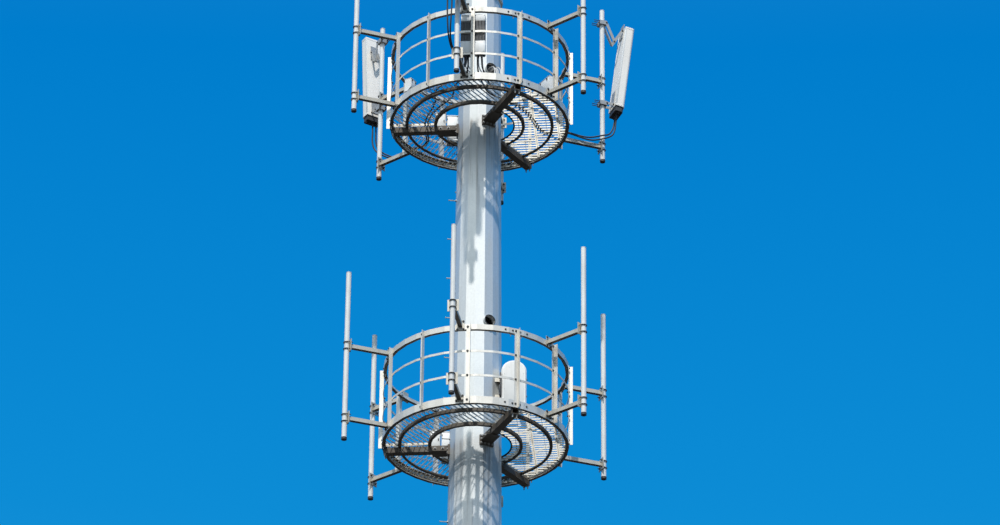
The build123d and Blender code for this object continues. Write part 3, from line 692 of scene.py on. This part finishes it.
# Cable ports
# Short tubes through the wall of the pole, welded all round outside, each with a rubber trim pushed over
# its mouth. A rubber seal with the jumpers in it closes the upper one.
lower_port = lower_floor + 1.88
trim_circle = 0.085
weld_circle = 0.0895
seal_radius = 0.0805


def circle(radius, sides, height):
    """Points round the Z axis at this height."""
    turns = [2 * math.pi * n / sides for n in range(sides)]
    return [(radius * math.cos(turn), radius * math.sin(turn), height) for turn in turns]


def add_part(shape, part, place):
    """Moves a part to the place and joins it to the shape."""
    bmesh.ops.transform(part, matrix=place, verts=part.verts[:])
    mesh = bpy.data.meshes.new("part")
    part.to_mesh(mesh)
    part.free()
    shape.from_mesh(mesh)
    bpy.data.meshes.remove(mesh)


dress(("cable_ports",), pole_steel)
trim_shape = bmesh.new()
weld_shape = bmesh.new()
lower_face, upper_face = [
    spot(port_bearing, facet_distance(height), height) @ outward for height in (lower_port, upper_port)
]
for face in (lower_face, upper_face):
    add_part(trim_shape, rod(circle(trim_circle, 40, 0.045), 0.0065, 8, True), face)
    add_part(weld_shape, rod(circle(weld_circle, 40, 0.001), 0.006, 8, True), face)
new_piece("port_trims", trim_shape, black_rubber)
new_piece("port_welds", weld_shape, pole_steel)
seal_shape = bmesh.new()
add_cone(seal_shape, upper_face @ shift(0, 0, -0.012), 0.016, seal_radius, seal_radius, 40)
new_piece("port_seal", seal_shape, black_rubber)

# Brackets and floor beams
# Each square beam lies on a seat between two cheeks. The seat and cheeks are welded to a saddle that is
# bent to the faces of the pole and bolted through its wall.
# A very dark brown zinc for what lies under the floors: painted shade standing in for the dark they lie
# in
painted_shade_steel = zinc("painted_shade_zinc", (0.13, 0.11, 0.085, 1), (0.065, 0.052, 0.04, 1), 0.6, 3.0, 0.6)
levels = {"lower": lower_floor, "upper": upper_floor}
splice_bearings = (25, 145, 265)
bracket_foot = 0.22
saddle_thickness = 0.012
cheek_side = 0.064
cheek_drop = 0.103
cheek_bolt_circles = (0.475, 0.59)
saddle_spots = (
    (-0.088, -0.078), (-0.088, -0.13), (0.088, -0.078), (0.088, -0.13),
    (-0.088, -0.192), (-0.03, -0.192), (0.03, -0.192), (0.088, -0.192),
)
leftward = turned(90, "X")
rightward = turned(-90, "X")
for level, floor_height in levels.items():
    dress((f"{level}_pole_brackets", f"{level}_floor_beams", f"{level}_floor_rings"), painted_shade_steel)
    saddle_face = corner_distance(floor_height - bracket_foot) + saddle_thickness
    saddle_bolts = [
        spot(bearing, saddle_face, floor_height) @ shift(0, y, z) @ outward
        for bearing in splice_bearings for y, z in saddle_spots
    ]
    saddle_shape = repeated(bolt(0.018), saddle_bolts)
    new_piece(f"{level}_saddle_bolts", saddle_shape, fitting_steel)
    cheek_bolts = [
        spot(bearing, radius, floor_height) @ shift(0, y, -cheek_drop) @ way
        for bearing in splice_bearings for radius in cheek_bolt_circles
        for y, way in ((cheek_side, rightward), (-cheek_side, leftward))
    ]
    cheek_shape = repeated(stud(0.02, 0.012), cheek_bolts)
    new_piece(f"{level}_cheek_bolts", cheek_shape, fitting_steel)

# Gratings
# Flat bars on edge in a banded sector, tied by thin cross rods let into their tops. A sector is made of
# three lengths whose bars lie side by side at their joints. The inner ring has a length a step lower,
# with a rubber trim pushed over its edge where cables could rub.
grating_steel = zinc("grating_zinc", (0.60, 0.57, 0.50, 1), (0.38, 0.355, 0.31, 1), 0.5, 3.5, 0.9, 0.7)
sector_angle = math.radians(59.4)
grating_low, grating_high = 0.658, 1.362
infill_low, infill_high = 0.532, 0.679
bar_pitch = 0.072
bar_half = 0.0023
band_thickness = 0.006
bar_inset = 0.004
shortest_bar = 0.015

# Lengths of bars in a sector: where they start and end, and their shift as a part of the pitch
sector_lengths = ((0.0, 0.86, 0), (0.82, 1.22, 0.5), (1.18, 1.4, 0))
infill_lengths = ((0.0, 0.7, 0),)
cross_rods = (0.48, 0.66, 0.84, 1.02, 1.2)
rod_half = 0.002
infill_rod = ((0.597, -0.27, -0.034), (0.603, 0.27, -0.027))

# Bottoms and tops above the floor's own height
banding_heights = (-0.008, 0.022)
bar_heights = (0.0, 0.022)
rod_low, rod_high = 0.0155, 0.0205
infill_banding_heights = (-0.052, -0.022)
infill_bar_heights = (-0.05, -0.025)
trim_height = -0.04


def sector_outline(low, high, inset):
    """Corners of a sector about local X between two radii, drawn in by the inset all round."""
    points = []
    for radius, way, count in ((high - inset, 1, 30), (low + inset, -1, 16)):
        end = sector_angle - math.asin(inset / radius)
        turns = [way * end * (2 * n / count - 1) for n in range(count + 1)]
        points += [(radius * math.cos(turn), radius * math.sin(turn)) for turn in turns]
    return points


def add_banding(shape, place, low, high, bottom, top):
    """A flat bar on edge that runs round a sector."""
    outer_line = sector_outline(low, high, 0.0)
    inner_line = sector_outline(low, high, band_thickness)
    rows = [
        [shape.verts.new(place @ Vector((x, y, z))) for x, y in line]
        for line, z in ((outer_line, bottom), (outer_line, top), (inner_line, top), (inner_line, bottom))
    ]
    for row, following in zip(rows, rows[1:] + rows[:1]):
        for n in range(len(row)):
            after = (n + 1) % len(row)
            shape.faces.new((row[n], row[after], following[after], following[n]))


def add_box(shape, place, low, high, edge=0.0):
    """A box between two corners, with its edges rounded off by this much."""
    size = [top - bottom for bottom, top in zip(low, high)]
    middle = [(top + bottom) / 2 for bottom, top in zip(low, high)]
    part = bmesh.new()
    bmesh.ops.create_cube(part, size=1.0, matrix=shift(*middle) @ Matrix.Diagonal((*size, 1)))
    if edge:
        rims = part.edges[:]
        bmesh.ops.bevel(part, geom=rims, offset=edge, segments=2, profile=0.5, affect="EDGES")
    add_part(shape, part, place)


def add_bars(shape, place, low, high, bottom, top, lengths):
    """Bars along local X between two radii, in lengths as the lists above give them."""
    for start, end, part in lengths:
        for n in range(-20, 20):
            y = (n + part) * bar_pitch
            if abs(y) < high - 0.02:
                inner_end = math.sqrt(max((low + bar_inset) ** 2 - y**2, 0))
                side_end = abs(y) / math.tan(sector_angle) + 0.005
                first = max(start, inner_end, side_end)
                last = min(end, math.sqrt((high - bar_inset) ** 2 - y**2))
                if last - first > shortest_bar:
                    add_box(shape, place, (first, y - bar_half, bottom), (last, y + bar_half, top))


def cross_runs(distance):
    """How far a cross rod at this distance along a sector runs to each side, as one or two stretches."""
    low, high = grating_low + bar_inset, grating_high - bar_inset
    end = min((distance - 0.005) * math.tan(sector_angle), math.sqrt(high**2 - distance**2))
    if distance >= low:
        return [(-end, end)]
    start = math.sqrt(low**2 - distance**2)
    return [(-end, -start), (start, end)] if start < end else []


for level, floor_height in levels.items():
    for side, bearing in (("right", 85), ("rear", 205), ("left", 325)):
        along = spot(bearing, 0, floor_height)
        shape = bmesh.new()
        add_banding(shape, along, grating_low, grating_high, *banding_heights)
        add_bars(shape, along, grating_low, grating_high, *bar_heights, sector_lengths)
        for distance in cross_rods:
            for start, end in cross_runs(distance):
                corners = (distance - rod_half, start, rod_low), (distance + rod_half, end, rod_high)
                add_box(shape, along, *corners)
        bars = new_piece(f"{level}_{side}_grating_bars", shape, grating_steel)
        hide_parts(f"{level}_grating_{side}")
    along = spot(85, 0, floor_height)
    shape = bmesh.new()
    add_bars(shape, along, infill_low, infill_high, *infill_bar_heights, infill_lengths)
    add_box(shape, along, *infill_rod)
    bars = new_piece(f"{level}_infill_bars", shape, grating_steel)
    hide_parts(f"{level}_floor_infill")
    shape = bmesh.new()
    add_banding(shape, along, infill_low, infill_high, *infill_banding_heights)
    new_piece(f"{level}_infill_banding", shape, painted_shade_steel)
    edge = [
        (along @ turned(turn, "Z") @ shift(infill_low, 0, trim_height)).translation
        for turn in range(-57, 58, 3)
    ]
    new_piece(f"{level}_hole_trim", rod(edge, 0.0125, 10), black_rubber)

# Toe ring and its splices
# Three lengths of rolled channel, joined over each beam by a plate on the lower flange that is bolted
# through it and, in the middle, through the beam. The ends also have black bolts through the web.
platform_pale, platform_dull = (0.76, 0.73, 0.67, 1), (0.55, 0.52, 0.46, 1)
platform_steel = zinc("platform_zinc", platform_pale, platform_dull, 0.48, 2.2, 0.9, 0.45)
black_steel = zinc("black_bolts", (0.05, 0.05, 0.05, 1), (0.11, 0.10, 0.09, 1), 0.45, 9.0, 0.2, 0.3)
web_face = 1.3748
rail_rise = 1.2
plate_circle = 1.35
plate_rises = (-0.058, 1.1575)
beam_stud_circle = 1.33
beam_foot = 0.148

# Turns from the splice in degrees and sideways offsets of the bolts through the web
web_spots = ((0, -0.06), (0, 0.06), (10, -0.0656), (-10, 0.0656))
downward = turned(180, "X")
for level, floor_height in levels.items():
    dress((f"{level}_toe_ring", f"{level}_splice_plates"), platform_steel)
    web_bolts = []
    plate_studs = []
    for bearing in splice_bearings:
        for rise in (0, rail_rise):
            for turn, y in web_spots:
                web = spot(bearing + turn, web_face, floor_height + rise)
                web_bolts.append(web @ shift(0, y, 0) @ outward)
        for y in (-0.085, 0.085):
            for rise in plate_rises:
                plate = spot(bearing, plate_circle, floor_height + rise)
                plate_studs.append(plate @ shift(0, y, 0) @ downward)
    web_shape = repeated(bolt(0.014), web_bolts)
    new_piece(f"{level}_splice_bolts", web_shape, black_steel)
    stud_shape = repeated(stud(0.016, 0.03), plate_studs)
    new_piece(f"{level}_splice_studs", stud_shape, fitting_steel)
    beam_studs = [
        spot(bearing, beam_stud_circle, floor_height - beam_foot) @ shift(0, y, 0) @ downward
        for bearing in splice_bearings for y in (-0.033, 0.033)
    ]
    beam_shape = repeated(stud(0.018, 0.035), beam_studs)
    new_piece(f"{level}_beam_studs", beam_shape, fitting_steel)

# Handrail
# A rolled angle on top and two flat midrails, all bolted to twelve angle posts that stand outside them.
# The bolts are black, with their heads outward and their nuts inside the rings.
bolt_face = 1.3811
nut_face = 1.3687
post_offset = 0.012
inward = turned(-90, "Y")
for level, floor_height in levels.items():
    dress((f"{level}_rails", f"{level}_rail_posts"), platform_steel)
    heads = []
    nuts = []
    for n in range(12):
        for rise in (0, 0.4, 0.8, rail_rise):
            post = spot(25 + 30 * n, 0, floor_height + rise) @ shift(0, -post_offset, 0)
            heads.append(post @ shift(bolt_face, 0, 0) @ outward)
            nuts.append(post @ shift(nut_face, 0, 0) @ inward)
    new_piece(f"{level}_post_bolts", repeated(bolt(0.016), heads), black_steel)
    new_piece(f"{level}_post_nuts", repeated(stud(0.014, 0.006), nuts), black_steel)

# Outriggers
# Square tubes bolted to the toe ring and to the top rail by their inner plates. Black U-bolts hold an
# antenna pipe against each outer plate.
dark_steel = zinc("arm_zinc", (0.60, 0.56, 0.48, 1), (0.40, 0.37, 0.31, 1), 0.5, 3.0, 0.9, 0.4)
arm_bearings = (50, 110, 170, 230, 290, 350)
inner_plate_face = 1.388
outer_plate_face = -0.045
hoop_radius = 0.046
hoop_reach = 0.06

# Heights of the two arms above the floor, and half the spacing of the bolts in their inner plates
arm_rises = ((0.022, 0.038), (1.222, 0.064))
bend_turns = [math.pi * n / 12 - math.pi / 2 for n in range(13)]
bend = [(hoop_radius * math.cos(turn), hoop_radius * math.sin(turn), 0) for turn in bend_turns]
hoop_points = [(-hoop_reach, -hoop_radius, 0), *bend, (-hoop_reach, hoop_radius, 0)]
for level, floor_height in levels.items():
    dress((f"{level}_lower_arms", f"{level}_upper_arms"), dark_steel)
    hoops = []
    hoop_nuts = []
    plate_bolts = []
    for bearing in arm_bearings:
        for rise, half_height in arm_rises:
            axis = spot(bearing, pipe_circle, floor_height + rise)
            for z in (-0.055, 0.055):
                hoops.append(axis @ shift(0, 0, z))
                for y in (-hoop_radius, hoop_radius):
                    hoop_nuts.append(axis @ shift(outer_plate_face, y, z) @ inward)
            for y in (-0.045, 0.045):
                for z in (-half_height, half_height):
                    plate = spot(bearing, inner_plate_face, floor_height + rise)
                    plate_bolts.append(plate @ shift(0, y, z) @ outward)
    hoop_shape = repeated(rod(hoop_points, 0.007, 8), hoops)
    new_piece(f"{level}_pipe_hoops", hoop_shape, black_steel, 60)
    new_piece(f"{level}_hoop_nuts", repeated(stud(0.014, 0.02), hoop_nuts), black_steel)
    new_piece(f"{level}_arm_bolts", repeated(bolt(0.016), plate_bolts), black_steel)

# Antenna pipes
# Galvanised steel tubes, closed by a pale domed plug on top and a dark cup below.
pipe_steel = zinc("pipe_zinc", (0.78, 0.78, 0.76, 1), (0.60, 0.60, 0.58, 1), 0.42, 2.6, 0.3)
dark_plastic = rubber("dark_plastic", (0.035, 0.035, 0.037, 1), (0.11, 0.105, 0.10, 1))
pipe_rises = {"lower": (0.045, 0.03, 0, -0.045, -0.085, 0), "upper": (0, 0, 0, 0, 0, -0.085)}
pipe_drop = 0.24
pipe_length = 2.78
for level, floor_height in levels.items():
    dress((f"{level}_antenna_pipes",), pipe_steel)
    plug = bmesh.new()
    add_cone(plug, shift(0, 0, 0), 0.006, 0.0395, 0.0395, 24)
    add_cone(plug, shift(0, 0, 0.006), 0.007, 0.037, 0.028, 24)
    add_cone(plug, shift(0, 0, 0.013), 0.004, 0.028, 0.012, 24)
    cup = bmesh.new()
    add_cone(cup, shift(0, 0, -0.006), 0.036, 0.0415, 0.0425, 24)
    feet = [
        spot(bearing, pipe_circle, floor_height + rise - pipe_drop)
        for bearing, rise in zip(arm_bearings, pipe_rises[level])
    ]
    tops = [foot @ shift(0, 0, pipe_length) for foot in feet]
    new_piece(f"{level}_pipe_plugs", repeated(plug, tops), pipe_steel)
    new_piece(f"{level}_pipe_cups", repeated(cup, feet), dark_plastic)

# Panel antennas
# A fibreglass cover over an aluminium tray, with a pale strip down each edge, a cap riveted on at both
# ends, and a set-back foot that holds the sockets.
panel_width = 0.29
panel_depth = 0.155
panel_length = 1.5
panel_corner = 0.045
cap_overhang = 0.002
cap_edge = 0.003
low_cap_top = 0.03
high_cap_foot = 1.466
strip_inner, strip_outer = 0.139, 0.1475
strip_back, strip_front = -0.003, 0.022
rivet_side = 0.147
rivet_spots = ((0.05, 0.014), (0.05, 1.485), (0.1, 0.014), (0.1, 1.485))
dust_and_shade_brown = (0.30, 0.28, 0.25, 1)
free_sockets = {
    "left": (0.06, 0.115, -0.115),
    "right": (-0.095, 0.095, -0.005),
    "front": (0.02, 0.075, 0.12),
}


def cover_finish(name, pale, dull, roughness):
    """Weathered pale plastic: a chalky bloom, faint runs from the top, dust specks, and painted shade on
    what faces down.
    """
    made, place = start_material(name)
    bloom = noise(place, 2.4).between(0.36, 0.68)
    runs = noise(place, 24, 3, (1, 1, 0.05)).between(0.52, 0.76)
    specks = noise(place, 60, 5).between(0.64, 0.76)
    tone = (bloom * 0.45 + runs * 0.4).blend(pale, dull)
    # Dust specks, and painted shade on what faces down, both in the same brown
    tone = (specks * 0.35 + facing_down(place) * 0.4).blend(tone, dust_and_shade_brown)
    relief = noise(place, 240, 3) + runs * 0.2
    return end_material(made, tone, bloom * 0.15 + roughness, relief, 0.0005)


antenna_cover = cover_finish("antenna_cover", (0.90, 0.86, 0.80, 1), (0.76, 0.71, 0.65, 1), 0.42)
dress([f"{side}_panel_antenna" for side in panel_sides], antenna_cover)
dress(("panel_feet",), dark_plastic)
dress(("panel_brackets",), fitting_steel)


def panel_outline(inset):
    """Corners of a panel's section seen from above, square at the back and rounded in front."""
    half = panel_width / 2 - inset
    depth = panel_depth - inset
    corner = panel_corner - inset
    points = [(inset, -half)]
    for middle_y, first in ((-half + corner, -90), (half - corner, 0)):
        for step in range(7):
            turn = math.radians(first + 15 * step)
            points.append((depth - corner + corner * math.cos(turn), middle_y + corner * math.sin(turn)))
    points.append((inset, half))
    return points


def add_slab(shape, place, outline, low, high, edge):
    """A flat body of this outline between two heights, with its edges rounded off by this much."""
    part = bmesh.new()
    bottom = [part.verts.new((x, y, low)) for x, y in outline]
    top = [part.verts.new((x, y, high)) for x, y in outline]
    part.faces.new(reversed(bottom))
    part.faces.new(top)
    for n in range(len(outline)):
        after = (n + 1) % len(outline)
        part.faces.new((bottom[n], bottom[after], top[after], top[n]))
    rims = [side for side in part.edges if abs(side.verts[0].co.z - side.verts[1].co.z) < 1e-6]
    bmesh.ops.bevel(part, geom=rims, offset=edge, segments=2, profile=0.6, affect="EDGES")
    add_part(shape, part, place)


trim_shape = bmesh.new()
strip_shape = bmesh.new()
socket_shape = bmesh.new()
rivets = []
for side in panel_sides:
    body = panel_place(side)
    for low, high in ((high_cap_foot, panel_length + cap_edge), (-cap_edge, low_cap_top)):
        add_slab(trim_shape, body, panel_outline(-cap_overhang), low, high, cap_edge)
    for side_way, way in ((-1, leftward), (1, rightward)):
        low_y, high_y = sorted((side_way * strip_inner, side_way * strip_outer))
        corners = (strip_back, low_y, low_cap_top), (strip_front, high_y, high_cap_foot)
        add_box(strip_shape, body, *corners, 0.001)
        for x, z in rivet_spots:
            rivets.append(body @ shift(x, side_way * rivet_side, z) @ way)
    for y in (*feeder_socket_sides[side], *free_sockets[side]):
        socket = body @ shift(foot_socket_out, y, -foot_socket_drop) @ downward
        add_cone(socket_shape, socket, 0.012, 0.017, 0.017, 6)
        add_cone(socket_shape, socket @ shift(0, 0, 0.012), 0.014, 0.0145, 0.0145, 16)
rivet = bmesh.new()
add_cone(rivet, shift(0, 0, -0.001), 0.003, 0.006, 0.004, 12)
new_piece("panel_end_caps", trim_shape, antenna_cover)
new_piece("panel_edge_strips", strip_shape, pipe_steel)
new_piece("panel_sockets", socket_shape, dark_plastic)
new_piece("panel_rivets", repeated(rivet, rivets), fitting_steel)

# Fasteners of the panel brackets
# Long studs pull the two jaws of each clamp round the pipe, and a bolt goes through each end and hinge
# of the straps.
pipe_radius = 0.038
clamp_jaw = 0.022
clamp_width = 0.13
clamp_rise = 0.05
upper_clamp = 2.3
jaw_stud_side = 0.052
jaw_stud_rise = 0.016
strap_width = 0.045
strap_bolt_reach = 0.055
hinge_height = upper_clamp - 0.32
channel_middle = upper_clamp - 0.09
channel_height = 0.26
jaw_face = pipe_radius + clamp_jaw
jaw_middle = pipe_radius + clamp_jaw / 2
clamp_studs = []
clamp_nuts = []
pivots = []
for bearing, turn, foot, lean, stand_off in panel_sides.values():
    pipe = spot(bearing, pipe_circle, upper_floor) @ turned(turn, "Z")
    lower_clamp = foot + clamp_rise
    slope = math.tan(math.radians(lean))
    lower_back = stand_off + (clamp_rise + channel_height / 2) * slope - strap_width / 2
    upper_back = stand_off + (channel_middle - foot) * slope - strap_width / 2
    for height in (lower_clamp, upper_clamp):
        for y in (-jaw_stud_side, jaw_stud_side):
            for z in (-jaw_stud_rise, jaw_stud_rise):
                clamp_studs.append(pipe @ shift(-jaw_face, y, height + z) @ inward)
                clamp_nuts.append(pipe @ shift(jaw_face, y, height + z) @ outward)
    strap_spots = (
        (strap_bolt_reach, lower_clamp), (lower_back, lower_clamp), (strap_bolt_reach, upper_clamp),
        ((jaw_middle + upper_back) / 2, hinge_height), (upper_back, channel_middle),
    )
    for x, z in strap_spots:
        for y, way in ((clamp_width / 2, rightward), (-clamp_width / 2, leftward)):
            pivots.append(pipe @ shift(x, y, z) @ way)
new_piece("clamp_studs", repeated(stud(0.012, 0.08), clamp_studs), black_steel)
new_piece("clamp_nuts", repeated(bolt(0.012), clamp_nuts), black_steel)
new_piece("strap_bolts", repeated(bolt(0.014), pivots), black_steel)

# Radio units
# Finned aluminium housings side by side on a crossbar, with pale covers over both ends, a carrying
# handle on top and the sockets below. The housings' dark grey paint is partly their own colour and
# partly painted shade between the fins.
# Dark grey for the housings: their own paint, and painted shade standing in for the dark between the fins
unit_paint_and_shade = zinc("unit_paint_and_fin_shade", (0.10, 0.105, 0.11, 1), (0.16, 0.16, 0.16, 1), 0.5, 6.0, 0.2)
unit_pale = cover_finish("unit_pale_paint", (0.74, 0.75, 0.74, 1), (0.60, 0.60, 0.58, 1), 0.45)
dress(("radio_units",), unit_paint_and_shade)
dress(("radio_plate",), dark_steel)
unit_sides = (-0.105, 0.105)
unit_half = 0.0825
unit_back, unit_front = 1.2115, 1.3464
cover_heights = ((0.565, 0.682), (-0.002, 0.205))
screw_side = 0.065
screw_heights = (0.02, 0.18, 0.585, 0.66)
spare_sockets = ((1.31, -0.048), (1.31, 0.105), (1.245, -0.045), (1.245, 0.165))
grip_points = [
    (1.279, -0.045, 0.68), (1.279, -0.045, 0.7), (1.279, -0.037, 0.708),
    (1.279, 0.037, 0.708), (1.279, 0.045, 0.7), (1.279, 0.045, 0.68),
]
cover_shape = bmesh.new()
handle_shape = bmesh.new()
cover_screws = []
for y in unit_sides:
    for low, high in cover_heights:
        corners = (unit_back, y - unit_half, low), (unit_front, y + unit_half, high)
        add_box(cover_shape, unit_frame, *corners, 0.006)
    add_part(handle_shape, rod(grip_points, 0.006, 8), unit_frame @ shift(0, y, 0))
    for z in screw_heights:
        for screw_y in (y - screw_side, y + screw_side):
            cover_screws.append(unit_frame @ shift(unit_front, screw_y, z) @ outward)
            cover_screws.append(unit_frame @ shift(unit_back, screw_y, z) @ inward)
new_piece("unit_covers", cover_shape, unit_pale)
new_piece("unit_handles", handle_shape, dark_plastic)
new_piece("unit_screws", repeated(bolt(0.006), cover_screws), fitting_steel)
unit_socket = bmesh.new()
add_cone(unit_socket, downward, 0.012, 0.016, 0.016, 6)
add_cone(unit_socket, shift(0, 0, -0.012) @ downward, 0.012, 0.013, 0.013, 16)
feeder_sockets = [place for pair in unit_sockets.values() for place in pair]
socket_spots = [*feeder_sockets, *jumper_sockets, *spare_sockets]
socket_places = [unit_frame @ shift(x, y, 0) for x, y in socket_spots]
new_piece("unit_sockets", repeated(unit_socket, socket_places), dark_plastic)

# Boxes on the top rail
# Painted sheet boxes with a sloping inner foot, held against the flange of the rail, with a raised door,
# two latches and cable glands below.
box_paint = cover_finish("box_paint", (0.78, 0.79, 0.78, 1), (0.64, 0.64, 0.62, 1), 0.4)
dress(("side_boxes",), box_paint)

# Each box's bearing, height of its foot, width, depth and height
side_boxes = ((121, 0.88, 0.32, 0.15, 0.3), (239, 0.945, 0.16, 0.11, 0.22))
flange_corners = 1.33
flange_sides = 36
box_gap = 0.0003
door_shape = bmesh.new()
latch_shape = bmesh.new()
for bearing, foot, width, depth, height in side_boxes:
    box = spot(bearing, 0, upper_floor + foot)
    half = width / 2
    face = math.sqrt((flange_corners * math.cos(math.pi / flange_sides)) ** 2 - half**2) - box_gap
    inner = face - depth
    door = (inner - 0.004, -half + 0.01, 0.07), (inner + 0.001, half - 0.01, height - 0.01)
    add_box(door_shape, box, *door, 0.002)
    roof = (inner - 0.008, -half - 0.003, height - 0.002), (face, half + 0.003, height + 0.004)
    add_box(door_shape, box, *roof, 0.002)
    for y in (-0.3 * width, 0.3 * width):
        latch = (inner - 0.012, y - 0.012, height - 0.05), (inner - 0.003, y + 0.012, height - 0.02)
        add_box(latch_shape, box, *latch, 0.002)
        add_cone(latch_shape, box @ shift(face - 0.03, y, 0) @ downward, 0.022, 0.013, 0.011)
new_piece("side_box_doors", door_shape, box_paint)
new_piece("side_box_latches", latch_shape, dark_plastic)

# Enclosure beside the pole
# A pale cover with a half-round top on two carriers from the pole. Its lid is a raised skin with screws
# round its edge, and a dark rail runs down its left side.
enclosure_paint = cover_finish("enclosure_paint", (0.84, 0.84, 0.82, 1), (0.72, 0.71, 0.68, 1), 0.38)
dress(("enclosure",), enclosure_paint)
dress(("enclosure_carriers",), dark_steel)
enclosure_x = 0.556
enclosure_y = -0.2
enclosure_rise = 0.45
enclosure_depth = 0.24
enclosure_frame = shift(enclosure_x, enclosure_y, lower_floor + enclosure_rise)
lid_width = 0.3
lid_height = 0.716
lid_rise = 0.028
lid_face = 0.004
lid_screws = (
    (-0.138, 0.05), (-0.138, 0.3), (-0.138, 0.55), (0.138, 0.05), (0.138, 0.3), (0.138, 0.55),
    (-0.07, 0.66), (0.07, 0.66),
)
side_rail = ((-0.206, -0.16, 0.17), (-0.1865, -0.04, 0.55))
side_bolt_rises = (0.2, 0.48)
carrier_front = 0.045
carrier_bolt_x = 0.352
carrier_rises = (0.65, 0.93)


def arch(half_width, height):
    """The outline of the cover seen from the front, with a half-round top."""
    straight = height - half_width
    turns = [math.radians(7.5 * n) for n in range(25)]
    return [(-half_width, 0), (half_width, 0)] + [
        (half_width * math.cos(turn), straight + half_width * math.sin(turn)) for turn in turns
    ]


skin_shape = bmesh.new()
front = enclosure_frame @ shift(0, -enclosure_depth / 2, 0) @ turned(90, "X")
lid_outline = arch(lid_width / 2, lid_height)
add_slab(skin_shape, front @ shift(0, lid_rise, 0), lid_outline, -0.002, lid_face, 0.0015)
new_piece("enclosure_lid", skin_shape, enclosure_paint)
lid_places = [front @ shift(x, z, lid_face) for x, z in lid_screws]
new_piece("enclosure_screws", repeated(bolt(0.006), lid_places), enclosure_paint)
rail_shape = bmesh.new()
add_box(rail_shape, enclosure_frame, *side_rail, 0.002)
for z in side_bolt_rises:
    add_cone(rail_shape, enclosure_frame @ shift(-0.206, -0.1, z) @ inward, 0.012, 0.014, 0.012, 6)
    add_cone(rail_shape, enclosure_frame @ shift(0.186, -0.06, z) @ outward, 0.012, 0.014, 0.012, 6)
new_piece("enclosure_rail", rail_shape, dark_plastic)
carrier_bolts = [
    shift(carrier_bolt_x, enclosure_y - carrier_front, lower_floor + rise) @ leftward
    for rise in carrier_rises
]
new_piece("carrier_bolts", repeated(bolt(0.01), carrier_bolts), fitting_steel)

# Cabinets behind the pole
# Painted steel cabinets that stand on the gratings of both platforms. Each has a door in front with a
# latch and two hinges, a lid that overhangs, and louvres at one side.
grating_top = 0.0223

# Each cabinet's place on the platform, width, depth and height
cabinets = ((-0.6, 0.3, 0.16, 0.15, 0.29), (-0.415, 0.63, 0.18, 0.18, 0.44))
for level, floor_height in levels.items():
    dress((f"{level}_cabinets",), box_paint)
    parts = bmesh.new()
    fittings = bmesh.new()
    for x, y, width, depth, height in cabinets:
        cabinet = shift(x, y, floor_height + grating_top)
        half, back = width / 2, depth / 2
        lid = (-half - 0.006, -back - 0.008, height - 0.004), (half + 0.006, back + 0.006, height + 0.008)
        add_box(parts, cabinet, *lid, 0.003)
        door = (-half + 0.012, -back - 0.005, 0.03), (half - 0.012, -back + 0.001, height - 0.015)
        add_box(parts, cabinet, *door, 0.002)
        for n in range(5):
            low = 0.05 + 0.022 * n
            louvre = (half - 0.001, -0.045, low), (half + 0.004, 0.045, low + 0.01)
            add_box(parts, cabinet, *louvre, 0.002)
        middle = 0.5 * height
        latch = (half - 0.035, -back - 0.014, middle - 0.02), (half - 0.022, -back - 0.004, middle + 0.02)
        add_box(fittings, cabinet, *latch, 0.002)
        for z in (0.06, height - 0.06):
            hinge = (-half + 0.004, -back - 0.008, z - 0.014), (-half + 0.016, -back + 0.001, z + 0.014)
            add_box(fittings, cabinet, *hinge, 0.002)
    new_piece(f"{level}_cabinet_doors", parts, box_paint)
    new_piece(f"{level}_cabinet_fittings", fittings, dark_plastic)

# Lowest and highest corners of everything shown but the floor, in metres
low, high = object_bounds()
